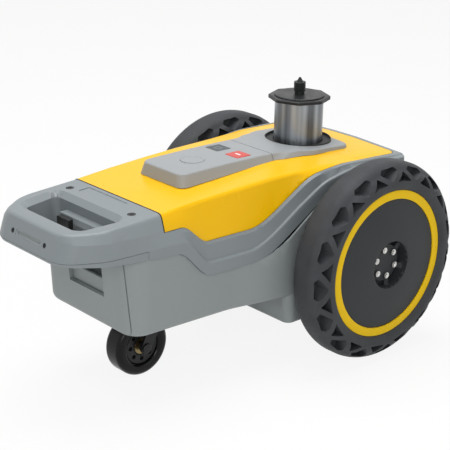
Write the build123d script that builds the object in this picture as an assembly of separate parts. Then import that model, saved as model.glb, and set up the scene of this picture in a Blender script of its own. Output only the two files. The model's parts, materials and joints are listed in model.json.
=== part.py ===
from build123d import *
import math
import os

# Layout marking robot: a low moulded body on two truss-pocket tyres and one rear caster, with a
# steel can sleeve and a prism spigot standing on the drive axle's centre line.
# Millimetres. While modelling, x = 0 is the drive axle, +X is forward, +Y is left, z = 0 is the floor.

# Stance
WHEEL_R = 133.0
TYRE_W = 60.0
TRACK = 298.0
REAR_REACH = 437.0
NOSE_REACH = 92.0
SHIFT_X = (REAR_REACH - WHEEL_R) / 2

# Fits shared by all pieces
RUN_GAP = 0.05
SLIDE_GAP = 0.35
SEAM_GAP = 0.9
COVER_SINK, COVER_SEAT = 1.2, 2.4
REST_GAP = 0.3

# Body walls and the roof line
WALL = 3.0
ROOF_Z = 255.0
ROOF_PEAK_X = -70.0
ROOF_R = 2618.0
SEAM_X = -306.0
FLANK_HALF = 112.0
FLANK_FLARE = 0.045
COVER_HALF = 99.0
COVER_FLARE = 0.022
CREST_INSET = 7.0
CREST_DROP, CREST_R = 0.6, 5.0
COVER_FRONT_X = 85.5
COVER_CORNER_R = 10.0
COVER_SIDE_GAP = 0.4
TONGUE_SET = 1.6
LEDGE = 6.0
NOSE_CORNER_R, NOSE_LAP = 18.0, 5.0
NOSE_T = 18.0
STATIONS = 44
CROWN, CROWN_X, CROWN_FALL, CROWN_FALL_X = 5.0, (-200.0, -30.0), 2.0, (0.0, 92.0)
CROWN_SHARES = (0.75, 0.5, 0.25)
BEND_STEPS = 3

# Three lines run along each flank: the cover's edge, the belt's ridge and the belt's foot
EDGE_Z, EDGE_DIP, EDGE_DIP_X = 224.2, 26.0, (-280.0, -239.0)
EDGE_RISE, EDGE_RISE_X, EDGE_CROWN, EDGE_CROWN_X = 47.8, (-174.0, -60.0), 8.0, (-110.0, -5.0)
RIDGE_Z, RIDGE_DIP, RIDGE_DIP_X = 207.3, 35.5, (-281.5, -237.5)
RIDGE_RISE, RIDGE_RISE_X, RIDGE_CROWN, RIDGE_CROWN_X = 62.0, (-182.0, -46.0), 14.0, (-90.0, 0.0)
FOOT_Z, FOOT_DIP, FOOT_DIP_X = 194.2, 37.8, (-290.0, -239.0)
FOOT_RISE, FOOT_RISE_X, FOOT_CROWN, FOOT_CROWN_X = 68.0, (-172.0, -28.0), 12.0, (-60.0, 20.0)

# The belt steps in twice between its ridge and the cover: shares of the way in and up
RIDGE_R = 2.0
STEP_X = (-292.0, -250.0)
SILL_IN, SILL_UP = 0.42, 0.08
LIP_IN, LIP_UP = 0.62, 0.86

# Handle
HANDLE_FOOT_TILT, HANDLE_RIDGE_TILT, HANDLE_CREASE_TILT = 0.064, -0.006, 0.03
HANDLE_DROP = 0.0557
HANDLE_FOOT_IN, HANDLE_CREASE_IN, HANDLE_TOP_IN = 1.5, 1.5, 9.5
HANDLE_CREASE_BACK, HANDLE_TOP_BACK = 7.5, 10.8
HANDLE_KNEE_X, HANDLE_KNEE_HALF = -388.0, 92.5
HANDLE_END_HALF = 67.0
HANDLE_KNEE_R, HANDLE_END_R = 60.0, 38.0
HANDLE_EDGE_R = 6.0
GROOVE_W, GROOVE_DEEP, GROOVE_END_X = 0.7, 0.8, -331.0
GRIP_REAR_X, GRIP_FRONT_X = -400.0, -349.5
GRIP_REAR_HALF, GRIP_FRONT_HALF = 56.0, 63.0
GRIP_R = 8.0
GRIP_RIM, GRIP_RIM_TAPER = 6.0, 54.0
GRIP_LEDGE, GRIP_LEDGE_Z, GRIP_LEDGE_T, GRIP_LEDGE_Y = 11.0, 224.5, 8.0, 41.0
ROOM_HALF = 76.0
LABEL_X, LABEL_Y, LABEL_L, LABEL_W, LABEL_R, LABEL_DEEP = -320.0, 8.0, 17.0, 78.0, 2.0, 0.8
TOP_SCREW_X, TOP_SCREW_Y = -330.0, 62.0
SCREW_HEAD_R, SCREW_HEAD_H, SCREW_R, SCREW_L = 5.0, 3.6, 2.5, 14.0
SCREW_HEX, SCREW_BOSS_R = 2.4, 6.0
PLATE_W, PLATE_H, PLATE_T, PLATE_UP, PLATE_SET = 52.0, 7.0, 2.5, 14.0, 0.6
PLATE_SCREW_Y, PLATE_SCREW_R = 32.6, 3.2
PLATE_R, PLATE_EDGE = 1.5, 2.0
KEEPER_W, KEEPER_H, KEEPER_T, KEEPER_Y, KEEPER_R = 24.0, 20.0, 7.0, 25.0, 1.5
KEEPER_SET = 2.0

# Tub
TUB_Z, TUB_REF_Z = 95.0, 195.0
TUB_REAR_X, TUB_HALF, TUB_FLARE = -360.4, 93.0, 0.035
TUB_CORNER_R, TUB_LOW_CORNER_R, TUB_FOOT_R = 36.0, 26.0, 11.0
TUB_REAR_LEAN, TUB_SIDE_LEAN = 9.5, 2.5
POD_Z, POD_REAR_X, POD_FRONT_X, POD_HALF = 58.0, -118.0, 88.0, 112.5
POD_CORNER_R, POD_FOOT_R = 12.0, 5.0
FLARE_X, FLARE_R, TUB_LAP = -200.0, 120.0, 40.0

# Battery drawer
DRAWER_CAP, DRAWER_SEAM_Z = 5.9, 193.0
PULL_Y, PULL_HALF, PULL_LOW_Z, PULL_HIGH_Z = -5.0, 35.0, 138.0, 179.0
PULL_DEEP, PULL_WALL = 24.0, 2.5
PADDLE_H, PADDLE_T, PADDLE_SET, PADDLE_PIN_R, PADDLE_KNUCKLE_R = 16.0, 4.0, 5.0, 1.5, 3.4
TRAY_HALF, TRAY_T, TRAY_L = 60.0, 3.0, 116.0
TRAY_BACK_H = 56.0
BATTERY_L, BATTERY_W, BATTERY_H = 104.0, 108.0, 72.0
BATTERY_R = 4.0
RAIL_W, RAIL_H, RAIL_SET = 5.0, 9.0, 8.0

# Console
CONSOLE_REAR_X, CONSOLE_NOSE_X = -238.0, 49.0
CONSOLE_FOOT_HALF, CONSOLE_TOP_HALF = 45.0, 38.5
COLLAR_FOOT_HALF, COLLAR_TOP_HALF = 61.0, 56.5
CONSOLE_WAIST_X, COLLAR_X, COLLAR_END_X = -100.0, -32.0, 41.0
CONSOLE_TOP_Z, CONSOLE_PEAK_X, CONSOLE_TOP_R = 267.0, -158.0, 2636.0
CONSOLE_SPLIT_X, CONSOLE_SPLIT_GAP = -87.0, 0.5
CONSOLE_EDGE_R = 2.5
CONSOLE_SPREAD, CONSOLE_KNEE, CONSOLE_TOP_KNEE, CONSOLE_WAIST_SHIFT = 2.0, 5.0, 0.5, 40.0
CONSOLE_REAR_R, COLLAR_BEND_R, COLLAR_CORNER_R, CONSOLE_NOSE_R = 12.0, 60.0, 17.0, 150.0
KEY_X, KEY_Y, KEY_SIZE, KEY_R = -126.0, 19.2, 24.0, 2.0
KEY_DEEP, KEY_TALL, KEY_PROUD = 7.0, 4.0, 0.6
DISPLAY_T = 1.6
POWER_X, POWER_R, POWER_RING, POWER_DISH, POWER_EDGE = -186.0, 15.5, 1.8, 0.7, 0.3

# Can well and mast
WELL_R = 45.0
SLEEVE_R, SLEEVE_WALL, SLEEVE_TOP_Z, SLEEVE_SEAT_Z = 32.5, 1.5, 317.4, 80.0
GUIDE_TOP_Z, GUIDE_RING_H, GUIDE_WALL = 253.6, 10.0, 3.0
CAP_ACROSS, CAP_H, CAP_CORNER_R, CAP_PLUG_H, CAP_BEVEL = 84.0, 4.4, 7.0, 10.0, 1.0
DISC_R, DISC_H, DISC_BEVEL = 33.5, 1.8, 0.7
SPIGOT_R, SPIGOT_NECK_R, SPIGOT_NECK_H, SPIGOT_H = 7.94, 6.6, 4.0, 16.4
SPIGOT_TIP_R, SPIGOT_TIP_H = 4.2, 6.0
CAN_R, CAN_L, CAN_SHOULDER, CAN_EDGE = 28.5, 205.0, 8.0, 2.0
CAN_STEM_R, CAN_STEM_L = 4.0, 12.0
CAN_RING_H, CAN_RING_BORE_R = 5.0, 22.0
HEAD_R, HEAD_H, HEAD_GAP = 24.0, 34.0, 1.0
NOZZLE_R, NOZZLE_BORE_R, NOZZLE_L = 9.0, 1.5, 10.0

# Drive wheels
BEAD_R, CROWN_HALF, SHOULDER_R, SHOULDER_HALF, SIDEWALL_R = 98.8, 7.0, 124.0, 21.0, 106.0
POCKETS = 15
TRI_BASE_R, TRI_TIP_R, TRI_HALF, TRI_DEEP = 108.5, 127.5, 12.0, 15.0
HOUSE_TIP_R, HOUSE_EAVE_R, HOUSE_TOP_R, HOUSE_HALF, HOUSE_TOP_HALF = 105.0, 118.0, 140.0, 14.0, 13.0
HOUSE_TIP_DEEP, HOUSE_DEEP = 7.0, 20.0
LIP_R, LIP_SET, BEAD_SET, SHOULDER_BOW, CROWN_BOW = 102.6, 1.0, 5.4, 2.2, 1.6
POCKET_ROUND = 1.6
POCKET_TURN = 8.0
RIM_T, RIM_BACK, WEB_OUT, WEB_T = 6.0, 26.0, 23.4, 12.0
RING_IN_R, RING_OUT_R, RING_T, RING_SET = 86.8, 98.4, 2.2, 0.8
DOME_H, DOME_BOW = 6.0, 1.2
HUB_BOSS_R, HUB_MOAT_R, HUB_MOAT_DEEP, HUB_DRAFT = 24.5, 32.0, 10.0, 0.8
HUB_BOSS_SET, HUB_RIB_SET, HUB_RIB_T = 5.4, 4.0, 7.0
SCREW_PCD, WHEEL_SCREWS, SCREW_TURN = 36.5, 6, 40.0
WHEEL_SCREW_HEAD_R, WHEEL_SCREW_HEAD_H, WHEEL_SCREW_R = 4.0, 2.8, 2.2
FLANGE_R, FLANGE_T, HUB_R, HUB_L = 23.0, 6.0, 11.0, 20.0
SHAFT_R, SHAFT_IN = 6.0, 84.0
BEARING_R, BEARING_T = 14.0, 9.0
GEARBOX, GEARBOX_T, MOTOR_R, MOTOR_L = 56.0, 28.0, 25.0, 32.0
GEARBOX_FACE = 104.0
BRACKET_T, BRACKET_FOOT = 4.0, 16.0

# Caster
CASTER_R, CASTER_W, CASTER_HUB_R, CASTER_HUB_W = 40.0, 31.0, 24.0, 22.0
CASTER_X, CASTER_TRAIL = -276.0, 22.0
CASTER_PLATE_L, CASTER_PLATE_W, CASTER_PLATE_T = 64.0, 56.0, 3.0
SWIVEL_R, SWIVEL_H, SWIVEL_EDGE, KINGPIN_R = 18.0, 6.0, 2.0, 5.0
FORK_GAP, FORK_T, FORK_CROWN_T, FORK_BOSS_R = 35.0, 4.0, 3.5, 8.0
CASTER_AXLE_R, CASTER_BEARING_R, CASTER_BEARING_T = 4.0, 11.0, 7.0
CASTER_CAP_R, CASTER_CAP_H, SPACER_T = 6.5, 2.2, 2.0
CASTER_SHOULDER, CASTER_BOW = 33.0, 3.0
CASTER_HOLES, CASTER_HOLE_R, CASTER_HOLE_PITCH_R = 8, 3.0, 17.8
CASTER_SCREW_R, CASTER_SCREW_H, CASTER_SHANK_R, CASTER_SCREW_EDGE = 3.5, 2.5, 2.0, 7.0
CASTER_PLATE_R = 6.0

# Control board
BOARD_X, BOARD_L, BOARD_W, BOARD_T = -166.0, 70.0, 92.0, 1.6
STANDOFF_R, STANDOFF_H, STANDOFF_EDGE = 3.0, 14.0, 6.0
CHIP_L, CHIP_W, CHIP_H = 26.0, 40.0, 9.0

# Working room: a reach past everything, the lap of joined pieces, and what counts as the same place
FAR = 500.0
LAP = 1.0
THROUGH = 4 * WALL
NEAR = 0.01


def ease(x, span):
    """Smooth step from 0 to 1 along a span of x."""
    t = min(max((x - span[0]) / (span[1] - span[0]), 0.0), 1.0)
    return t * t * (3 - 2 * t)


def roof_z(x):
    return ROOF_Z - (x - ROOF_PEAK_X) ** 2 / (2 * ROOF_R)


def crown_z(x, share):
    """The roof's height at a share of its half width: 0 is the centre line and 1 the crest."""
    swell = CROWN * ease(x, CROWN_X) - CROWN_FALL * ease(x, CROWN_FALL_X)
    return roof_z(x) + swell * (1 - share ** 2)


def edge_z(x):
    rise = EDGE_RISE * ease(x, EDGE_RISE_X) + EDGE_CROWN * ease(x, EDGE_CROWN_X)
    return min(EDGE_Z - EDGE_DIP * ease(x, EDGE_DIP_X) + rise, roof_z(x) - CREST_DROP)


def ridge_z(x):
    rise = RIDGE_RISE * ease(x, RIDGE_RISE_X) + RIDGE_CROWN * ease(x, RIDGE_CROWN_X)
    return RIDGE_Z - RIDGE_DIP * ease(x, RIDGE_DIP_X) + rise


def foot_z(x):
    rise = FOOT_RISE * ease(x, FOOT_RISE_X) + FOOT_CROWN * ease(x, FOOT_CROWN_X)
    return FOOT_Z - FOOT_DIP * ease(x, FOOT_DIP_X) + rise + HANDLE_FOOT_TILT * max(SEAM_X - x, 0.0)


def seat_z(x):
    """The cover's parting line: the edge line, kept under the roof skin where the two meet."""
    return min(edge_z(x), roof_z(x) - WALL - CREST_DROP)


def flank_y(x):
    return FLANK_HALF + FLANK_FLARE * x


def cover_y(x):
    return COVER_HALF + COVER_FLARE * x


def crest_y(x):
    return cover_y(x) - CREST_INSET


def stations(start, end):
    return [start + (end - start) * i / STATIONS for i in range(STATIONS + 1)]


def curve(points):
    """One smooth edge through points that are evenly spaced along x."""
    steps = [i / (len(points) - 1) for i in range(len(points))]
    return Edge.make_spline(points, parameters=steps)


def section(row, side, xs):
    """A closed upright section under one row of the body's skin, standing on the belt's foot line."""
    upper = [Vector(x, side * row(x)[0], row(x)[1]) for x in xs]
    lower = [Vector(x, side * row(x)[0], foot_z(x)) for x in xs]
    front = Edge.make_line(upper[-1], lower[-1])
    rear = Edge.make_line(lower[0], upper[0])
    return Wire([curve(upper), front, curve(lower), rear])


def above(line, xs, top, shift=0.0, reach=FAR):
    """A prism across the body, from a flank line up or down to a level height."""
    lower = [Vector(x, reach, line(x) + shift) for x in xs]
    first, last = lower[0], lower[-1]
    roof = [Vector(last.X, reach, top), Vector(first.X, reach, top)]
    sides = [Edge.make_line(last, roof[0]), Edge.make_line(roof[0], roof[1]), Edge.make_line(roof[1], first)]
    return extrude(Face(Wire([curve(lower)] + sides)), amount=2 * reach, dir=(0, -1, 0))


def between(half, start, end, inset, low, high, corner=0.0):
    """An upright prism between the two mirrored plan lines of a half width."""
    pts = [(start, half(start) - inset), (end, half(end) - inset)]
    plan = make_face(Polyline(*pts, *[(x, -y) for x, y in reversed(pts)], close=True))
    if corner:
        plan = fillet(plan.vertices().group_by(Axis.X)[-1], corner)
    return extrude(Pos(0, 0, low) * plan, amount=high - low)


def prism_y(points, half):
    """A side-view outline extruded evenly to both sides of the centre plane."""
    outline = make_face(Polyline(*[(x, 0, z) for x, z in points], close=True))
    return extrude(outline, amount=half, dir=(0, 1, 0), both=True)


def drum(profile):
    """A turned piece from an (r, z) outline."""
    return revolve(make_face(Polyline(*[(r, 0, z) for r, z in profile], close=True)), Axis.Z)


def pair(shape):
    return Compound(children=[shape, mirror(shape, Plane.XZ)])


# Upper body: one lofted loaf, from which the cover and the grey shell are both cut

def belt(share_in, share_up, drop=0.0):
    """A row of the belt's slope, from its ridge at 0 to the cover's edge at 1; its step grows along x."""
    def row(x):
        up = share_in + (share_up - share_in) * ease(x, STEP_X)
        y = flank_y(x) + share_in * (cover_y(x) - flank_y(x))
        return y, ridge_z(x) + up * (edge_z(x) - ridge_z(x)) - drop
    return row


def roof(share):
    """A row of the roof at a share of its half width."""
    return lambda x: (share * crest_y(x), crown_z(x, share))


def crest(down, inward):
    """A row beside the roof's crest, moved down the side and inward by shares of the crest's rounding."""
    def row(x):
        side = roof_z(x) - edge_z(x)
        fall = min(CREST_R, side / 2)
        y = crest_y(x) + CREST_INSET * down * fall / side - inward * fall
        return y, roof_z(x) - down * fall
    return row


def bend(start, corner, end):
    """Points of a soft bend from one point to another, drawn toward the corner between them."""
    points = []
    for step in range(BEND_STEPS + 1):
        t = step / BEND_STEPS
        weights = ((1 - t) ** 2, 2 * t * (1 - t), t ** 2)
        points.append([sum(w * v for w, v in zip(weights, trio)) for trio in zip(start, corner, end)])
    return points


def bent_rows(start, corner, end):
    """The same bend between rows of the skin."""
    return [lambda x, i=i: bend(start(x), corner(x), end(x))[i] for i in range(BEND_STEPS + 1)]


def loaf(rows):
    xs = body_span()
    wires = [section(row, 1, xs) for row in rows] + [section(row, -1, xs) for row in reversed(rows)]
    return Solid.make_loft(wires, ruled=True)


def roof_rows():
    return [roof(share) for share in CROWN_SHARES]


def outer_loaf():
    """The body's outer skin: rounded ridge, sill, lip, cover's edge, rounded crest and crowned roof."""
    ridge = bent_rows(belt(0, 0, RIDGE_R), belt(0, 0), belt(SILL_IN / 2, SILL_UP / 2))
    steps = [belt(SILL_IN, SILL_UP), belt(LIP_IN, LIP_UP), belt(1, 1)]
    return loaf(ridge + steps + bent_rows(crest(1, 0), crest(0, 0), crest(0, 1)) + roof_rows())


def inner_loaf():
    """The room under the cover: its side, crest and roof rows, set in and lowered by a wall."""
    def within(row, inset):
        return lambda x: (row(x)[0] - inset, row(x)[1] - WALL)
    side = WALL + COVER_SIDE_GAP
    flanks = [within(belt(1, 1), side), within(crest(0, 0), side)]
    return loaf(flanks + [within(row, 0) for row in roof_rows()])


def tilted(height, tilt):
    """A plane across the handle at a height over the seam, rising to the rear by a tilt."""
    return Plane((SEAM_X, 0, height), x_dir=(1, 0, -tilt), z_dir=(tilt, 0, 1))


def ridge_plane():
    return tilted(RIDGE_Z, HANDLE_RIDGE_TILT)


def crease_plane():
    """The plane of the crease between the handle's upright band and its leaning rim."""
    return tilted(EDGE_Z, HANDLE_CREASE_TILT)


def top_plane(height=0.0):
    """The plane of the handle's top, falling to the rear."""
    top = Plane((SEAM_X, 0, roof_z(SEAM_X)), x_dir=(1, 0, HANDLE_DROP), z_dir=(-HANDLE_DROP, 0, 1))
    return top.offset(height)


def handle_top(x):
    return roof_z(SEAM_X) + HANDLE_DROP * (x - SEAM_X)


def mirrored_plan(points):
    """A closed plan outline from the points of its left half."""
    return make_face(Polyline(*points, *[(x, -y) for x, y in reversed(points)], close=True))


def corners(plan, x):
    return plan.vertices().filter_by(lambda v: abs(v.X - x) < NEAR)


def handle_end():
    """The rear end along the ridge plane, set so that the ridge just makes the reach."""
    return (-REAR_REACH - SEAM_X) * math.hypot(1, HANDLE_RIDGE_TILT)


def handle_plan(half, inset, back):
    """The handle's plan at one level: half width at the seam, and insets of its sides and its rear end."""
    knee, end = HANDLE_KNEE_X - SEAM_X, handle_end() + back
    rear = [(knee, HANDLE_KNEE_HALF - inset), (end, HANDLE_END_HALF - inset)]
    plan = fillet(corners(mirrored_plan([(LAP, half), (0, half)] + rear), knee), HANDLE_KNEE_R - inset)
    return fillet(corners(plan, end), HANDLE_END_R - inset)


def rim_level(share, inward):
    """A level of the leaning rim, from its crease at 0 to its top at 1, moved inward."""
    def along(crease, top):
        return crease + share * (top - crease)
    plane = tilted(along(EDGE_Z, roof_z(SEAM_X)), along(HANDLE_CREASE_TILT, -HANDLE_DROP))
    half = along(cover_y(SEAM_X), crest_y(SEAM_X)) - inward
    inset, back = along(HANDLE_CREASE_IN, HANDLE_TOP_IN), along(HANDLE_CREASE_BACK, HANDLE_TOP_BACK)
    return plane * handle_plan(half, inset + inward, back + inward)


def handle_block():
    """The handle's solid: foot strip, upright band, leaning rim and rounded top, lofted level by level."""
    flank = flank_y(SEAM_X)
    foot = tilted(foot_z(SEAM_X), HANDLE_FOOT_TILT) * handle_plan(flank, HANDLE_FOOT_IN, HANDLE_FOOT_IN)
    ridge = ridge_plane() * handle_plan(flank, 0, 0)
    start = (1 - HANDLE_EDGE_R / (roof_z(SEAM_X) - EDGE_Z), 0)
    rounded = [rim_level(*level) for level in bend(start, (1, 0), (1, HANDLE_EDGE_R))]
    return loft([foot, ridge, rim_level(0, 0)] + rounded, ruled=True) - handle_groove()


def handle_groove():
    """The hairline seam under the handle's ridge, with a short upright end on each side."""
    plan = handle_plan(flank_y(SEAM_X), 0, 0)
    ring = extrude(ridge_plane() * (plan - offset(plan, amount=-GROOVE_DEEP)), amount=-GROOVE_W)
    ring = split(ring, Plane.YZ.offset(GROOVE_END_X), Keep.BOTTOM)
    tick = Box(GROOVE_W, 2 * GROOVE_DEEP, RIDGE_Z - FOOT_Z, align=(Align.MAX, Align.CENTER, Align.MAX))
    side = handle_side_y(GROOVE_END_X)
    return ring + pair(Pos(GROOVE_END_X, side, RIDGE_Z) * tick)


def handle_side_y(x):
    """The half width of the handle's straight side between its seam and its knee."""
    share = (x - SEAM_X) / (HANDLE_KNEE_X - SEAM_X)
    return flank_y(SEAM_X) + share * (HANDLE_KNEE_HALF - flank_y(SEAM_X))


def grip_cut():
    """The hand opening, with its rim bevelled at the top."""
    rear, front = GRIP_REAR_X - SEAM_X, GRIP_FRONT_X - SEAM_X
    plan = mirrored_plan([(front, GRIP_FRONT_HALF), (rear, GRIP_REAR_HALF)])
    plan = fillet(plan.vertices(), GRIP_R)
    well = extrude(top_plane(-GRIP_RIM) * plan, amount=-FAR)
    return well + extrude(top_plane(-GRIP_RIM) * plan, amount=GRIP_RIM + LAP, taper=-GRIP_RIM_TAPER)


def body_span():
    return stations(SEAM_X, NOSE_REACH)


def cover_space(gap, side, start, end):
    """The room of the top cover: over its parting line and between its two side planes."""
    room = above(seat_z, body_span(), FAR, -gap)
    return room & between(cover_y, start, end, side, TUB_Z, FAR, COVER_CORNER_R)


def deck_room():
    """The hollow under the handle's deck, with the two screw bosses left standing in it."""
    rear, front = GRIP_FRONT_X + WALL, SEAM_X + LEDGE
    room = Box(front - rear, 2 * ROOM_HALF, FAR, align=(Align.MIN, Align.CENTER, Align.MAX))
    boss = Cylinder(SCREW_BOSS_R, SCREW_HEAD_H + SCREW_L, align=(Align.CENTER, Align.CENTER, Align.MAX))
    return Pos(rear, 0, handle_top(rear) - WALL) * room - at_top_screws(boss)


def grip_ledge():
    """The ledge on the front wall of the hand opening, short of its left end."""
    long = GRIP_FRONT_HALF + GRIP_LEDGE_Y - LAP
    ledge = Box(GRIP_LEDGE + LAP, long, GRIP_LEDGE_T, align=(Align.MAX, Align.MAX, Align.MAX))
    return Pos(GRIP_FRONT_X + LAP, GRIP_LEDGE_Y, GRIP_LEDGE_Z) * ledge


def upper_shell(body):
    shell = body + handle_block()
    shell -= cover_space(COVER_SEAT, -COVER_SIDE_GAP, SEAM_X, COVER_FRONT_X)
    shell -= between(cover_y, SEAM_X + LEDGE, NOSE_REACH - NOSE_T, LEDGE, TUB_Z, FAR)
    shell -= deck_room()
    shell -= grip_cut()
    shell += grip_ledge()
    label = top_plane() * Pos(LABEL_X - SEAM_X, LABEL_Y, 0) * RectangleRounded(LABEL_L, LABEL_W, LABEL_R)
    shell -= extrude(label, amount=-LABEL_DEEP)
    shell -= at_top_screws(top_screw(SLIDE_GAP))
    return shell - end_plate_cut() - end_screw_cut()


def top_cover(body):
    start, end = SEAM_X + SEAM_GAP, COVER_FRONT_X - SEAM_GAP
    space = cover_space(COVER_SINK, COVER_SIDE_GAP, start, end)
    space += cover_space(COVER_SEAT, TONGUE_SET, start, end - TONGUE_SET)
    cover = (body & space) - inner_loaf()
    return cover - Pos(0, 0, ROOF_Z) * Cylinder(WELL_R + SLIDE_GAP, FAR)


# Tub and battery drawer

def tub_plan(inset, lean=0):
    """The tub's plan, set in by a wall; lean 1 is its bottom, drawn in by the walls' lean."""
    rear = TUB_REAR_X + TUB_REAR_LEAN * lean + inset
    side = TUB_SIDE_LEAN * lean + inset
    front = POD_REAR_X + TUB_LAP
    pts = [(front, POD_HALF - inset), (POD_REAR_X, POD_HALF - inset)]
    pts += [(FLARE_X, tub_y(FLARE_X) - side), (rear, tub_y(rear) - side)]
    plan = fillet(corners(mirrored_plan(pts), FLARE_X), FLARE_R)
    corner = TUB_CORNER_R + lean * (TUB_LOW_CORNER_R - TUB_CORNER_R)
    return fillet(corners(plan, rear), corner - inset)


def tub_y(x):
    return TUB_HALF + TUB_FLARE * (x - TUB_REAR_X)


def tub_form(inset):
    """The whole outer form of the tub, or of its inside when it is set in by a wall."""
    plan = Pos(0, 0, TUB_REF_Z) * tub_plan(inset)
    low = loft([Pos(0, 0, TUB_Z + inset) * tub_plan(inset, 1), plan], ruled=True)
    foot = low.faces().sort_by(Axis.Z)[0].edges().filter_by(lambda e: e.center().X < POD_REAR_X)
    low = fillet(foot, TUB_FOOT_R - inset)
    high = extrude(plan, amount=ROOF_Z - TUB_REF_Z)
    base = Pos((POD_REAR_X + POD_FRONT_X) / 2, 0, POD_Z + inset)
    pod = RectangleRounded(POD_FRONT_X - POD_REAR_X - 2 * inset, 2 * (POD_HALF - inset), POD_CORNER_R - inset)
    pod = extrude(base * pod, amount=ROOF_Z - POD_Z - inset)
    pod = fillet(pod.faces().sort_by(Axis.Z)[0].edges(), POD_FOOT_R - inset / 2)
    return low + high + pod


def rear_slope():
    return TUB_REAR_LEAN / (TUB_REF_Z - TUB_Z)


def seam_plane(shift):
    """The drawer's parting plane, leaning as the rear wall leans, moved back by a shift."""
    seam = (TUB_REAR_X + DRAWER_CAP, 0, DRAWER_SEAM_Z)
    return Plane(seam, x_dir=(0, 1, 0), z_dir=(-1, 0, -rear_slope())).offset(shift)


def rear_wall_x(z):
    return TUB_REAR_X + rear_slope() * (TUB_REF_Z - z)


def under_foot(gap):
    return above(foot_z, stations(-REAR_REACH, NOSE_REACH), 0, -gap)


def lower_tub(form):
    tub = split(form, seam_plane(-SEAM_GAP / 2), Keep.BOTTOM) & under_foot(REST_GAP)
    for side in (1, -1):
        tub -= Pos(0, side * POD_HALF, WHEEL_R) * Rot(90, 0, 0) * Cylinder(BEARING_R, THROUGH)
    tub -= Pos(0, 0, POD_Z) * Cylinder(NOZZLE_R + HEAD_GAP, THROUGH)
    return tub - tray_mouth() - at_caster_screws(Cylinder(CASTER_SHANK_R, THROUGH))


def tray_mouth():
    """Room at the tub's open end, level with its floor, for the tray to slide out."""
    mouth = Box(rail_rear() - TUB_REAR_X, 2 * (TRAY_HALF + SLIDE_GAP), TRAY_BACK_H,
                align=(Align.MIN, Align.CENTER, Align.MIN))
    return Pos(TUB_REAR_X, 0, TUB_Z + WALL) * mouth


def pull_room(wall):
    """The pull recess as a block, grown by a wall at its sides and back."""
    high = PULL_HIGH_Z - PULL_LOW_Z + 2 * wall
    room = Box(FAR, 2 * (PULL_HALF + wall), high, align=(Align.MAX, Align.CENTER, Align.CENTER))
    return Pos(pull_back_x() + wall, PULL_Y, (PULL_HIGH_Z + PULL_LOW_Z) / 2) * room


def drawer_front(form):
    """The rear end cap of the tub, cut away for the pull recess."""
    cap = split(form, seam_plane(SEAM_GAP / 2), Keep.TOP) & under_foot(SEAM_GAP)
    return cap - pull_room(0)


def pull_pocket(inside):
    """The dark box behind the recess, seated on the cap's inner face."""
    pocket = (pull_room(PULL_WALL) - pull_room(0)) & inside
    return pocket - paddle_pin()


def pull_back_x():
    return rear_wall_x(PULL_LOW_Z) + PULL_DEEP


def paddle_axis():
    x = rear_wall_x(PULL_LOW_Z) + PADDLE_SET + PADDLE_KNUCKLE_R
    return Pos(x, PULL_Y, PULL_LOW_Z + REST_GAP + PADDLE_KNUCKLE_R) * Rot(90, 0, 0)


def latch_paddle():
    """A pull bar on a cross pin, with room for the fingers above it."""
    wide = 2 * (PULL_HALF - SLIDE_GAP)
    blade = Box(PADDLE_T, PADDLE_H, wide, align=(Align.MAX, Align.MIN, Align.CENTER))
    blade = fillet(blade.edges().filter_by(Axis.Z).group_by(Axis.Y)[-1], PADDLE_T / 3)
    bar = Cylinder(PADDLE_KNUCKLE_R, wide) + Pos(PADDLE_T - PADDLE_KNUCKLE_R, 0, 0) * blade
    return paddle_axis() * (bar - Cylinder(PADDLE_PIN_R + RUN_GAP, wide))


def paddle_pin():
    return paddle_axis() * Cylinder(PADDLE_PIN_R, 2 * (PULL_HALF + PULL_WALL))


def tray_z():
    return TUB_Z + WALL + REST_GAP


def tray_rear():
    return pull_back_x() + PULL_WALL


def drawer_tray():
    floor = Box(TRAY_L, 2 * TRAY_HALF, TRAY_T, align=(Align.MIN, Align.CENTER, Align.MIN))
    back = Box(TRAY_T, 2 * PULL_HALF, TRAY_BACK_H, align=(Align.MIN, Align.CENTER, Align.MIN))
    return Pos(tray_rear(), 0, tray_z()) * (floor + Pos(0, PULL_Y, 0) * back)


def battery_pack():
    front = tray_rear() + TRAY_L - TRAY_T
    pack = Box(BATTERY_L, BATTERY_W, BATTERY_H, align=(Align.MAX, Align.CENTER, Align.MIN))
    pack = fillet(pack.edges().filter_by(Axis.Z), BATTERY_R)
    return Pos(front, 0, tray_z() + TRAY_T) * pack


def rail_rear():
    return tray_rear() - RAIL_SET


def drawer_rails():
    rail = Box(TRAY_L + RAIL_SET, RAIL_W, RAIL_H, align=(Align.MIN, Align.MIN, Align.MIN))
    return pair(Pos(rail_rear(), TRAY_HALF + SLIDE_GAP, TUB_Z + WALL) * rail)


# Console with its keys, display and can collar

def console_top(x):
    return CONSOLE_TOP_Z - (x - CONSOLE_PEAK_X) ** 2 / (2 * CONSOLE_TOP_R)


def console_outline(z, grow, half, knee, waist, wide):
    """The console's plan at a height: a straight panel that widens into the can's collar."""
    pts = [(CONSOLE_REAR_X - grow, half), (CONSOLE_WAIST_X + waist, half + knee), (COLLAR_X, wide)]
    pts += [(COLLAR_END_X + grow, wide)]
    radii = [CONSOLE_REAR_R, COLLAR_BEND_R, COLLAR_BEND_R, COLLAR_CORNER_R]
    pts += [(CONSOLE_NOSE_X + grow, 0)] + [(x, -y) for x, y in reversed(pts)]
    radii += [CONSOLE_NOSE_R] + radii[::-1]
    return Pos(0, 0, z) * make_face(FilletPolyline(*pts, radius=radii, close=True))


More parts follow.
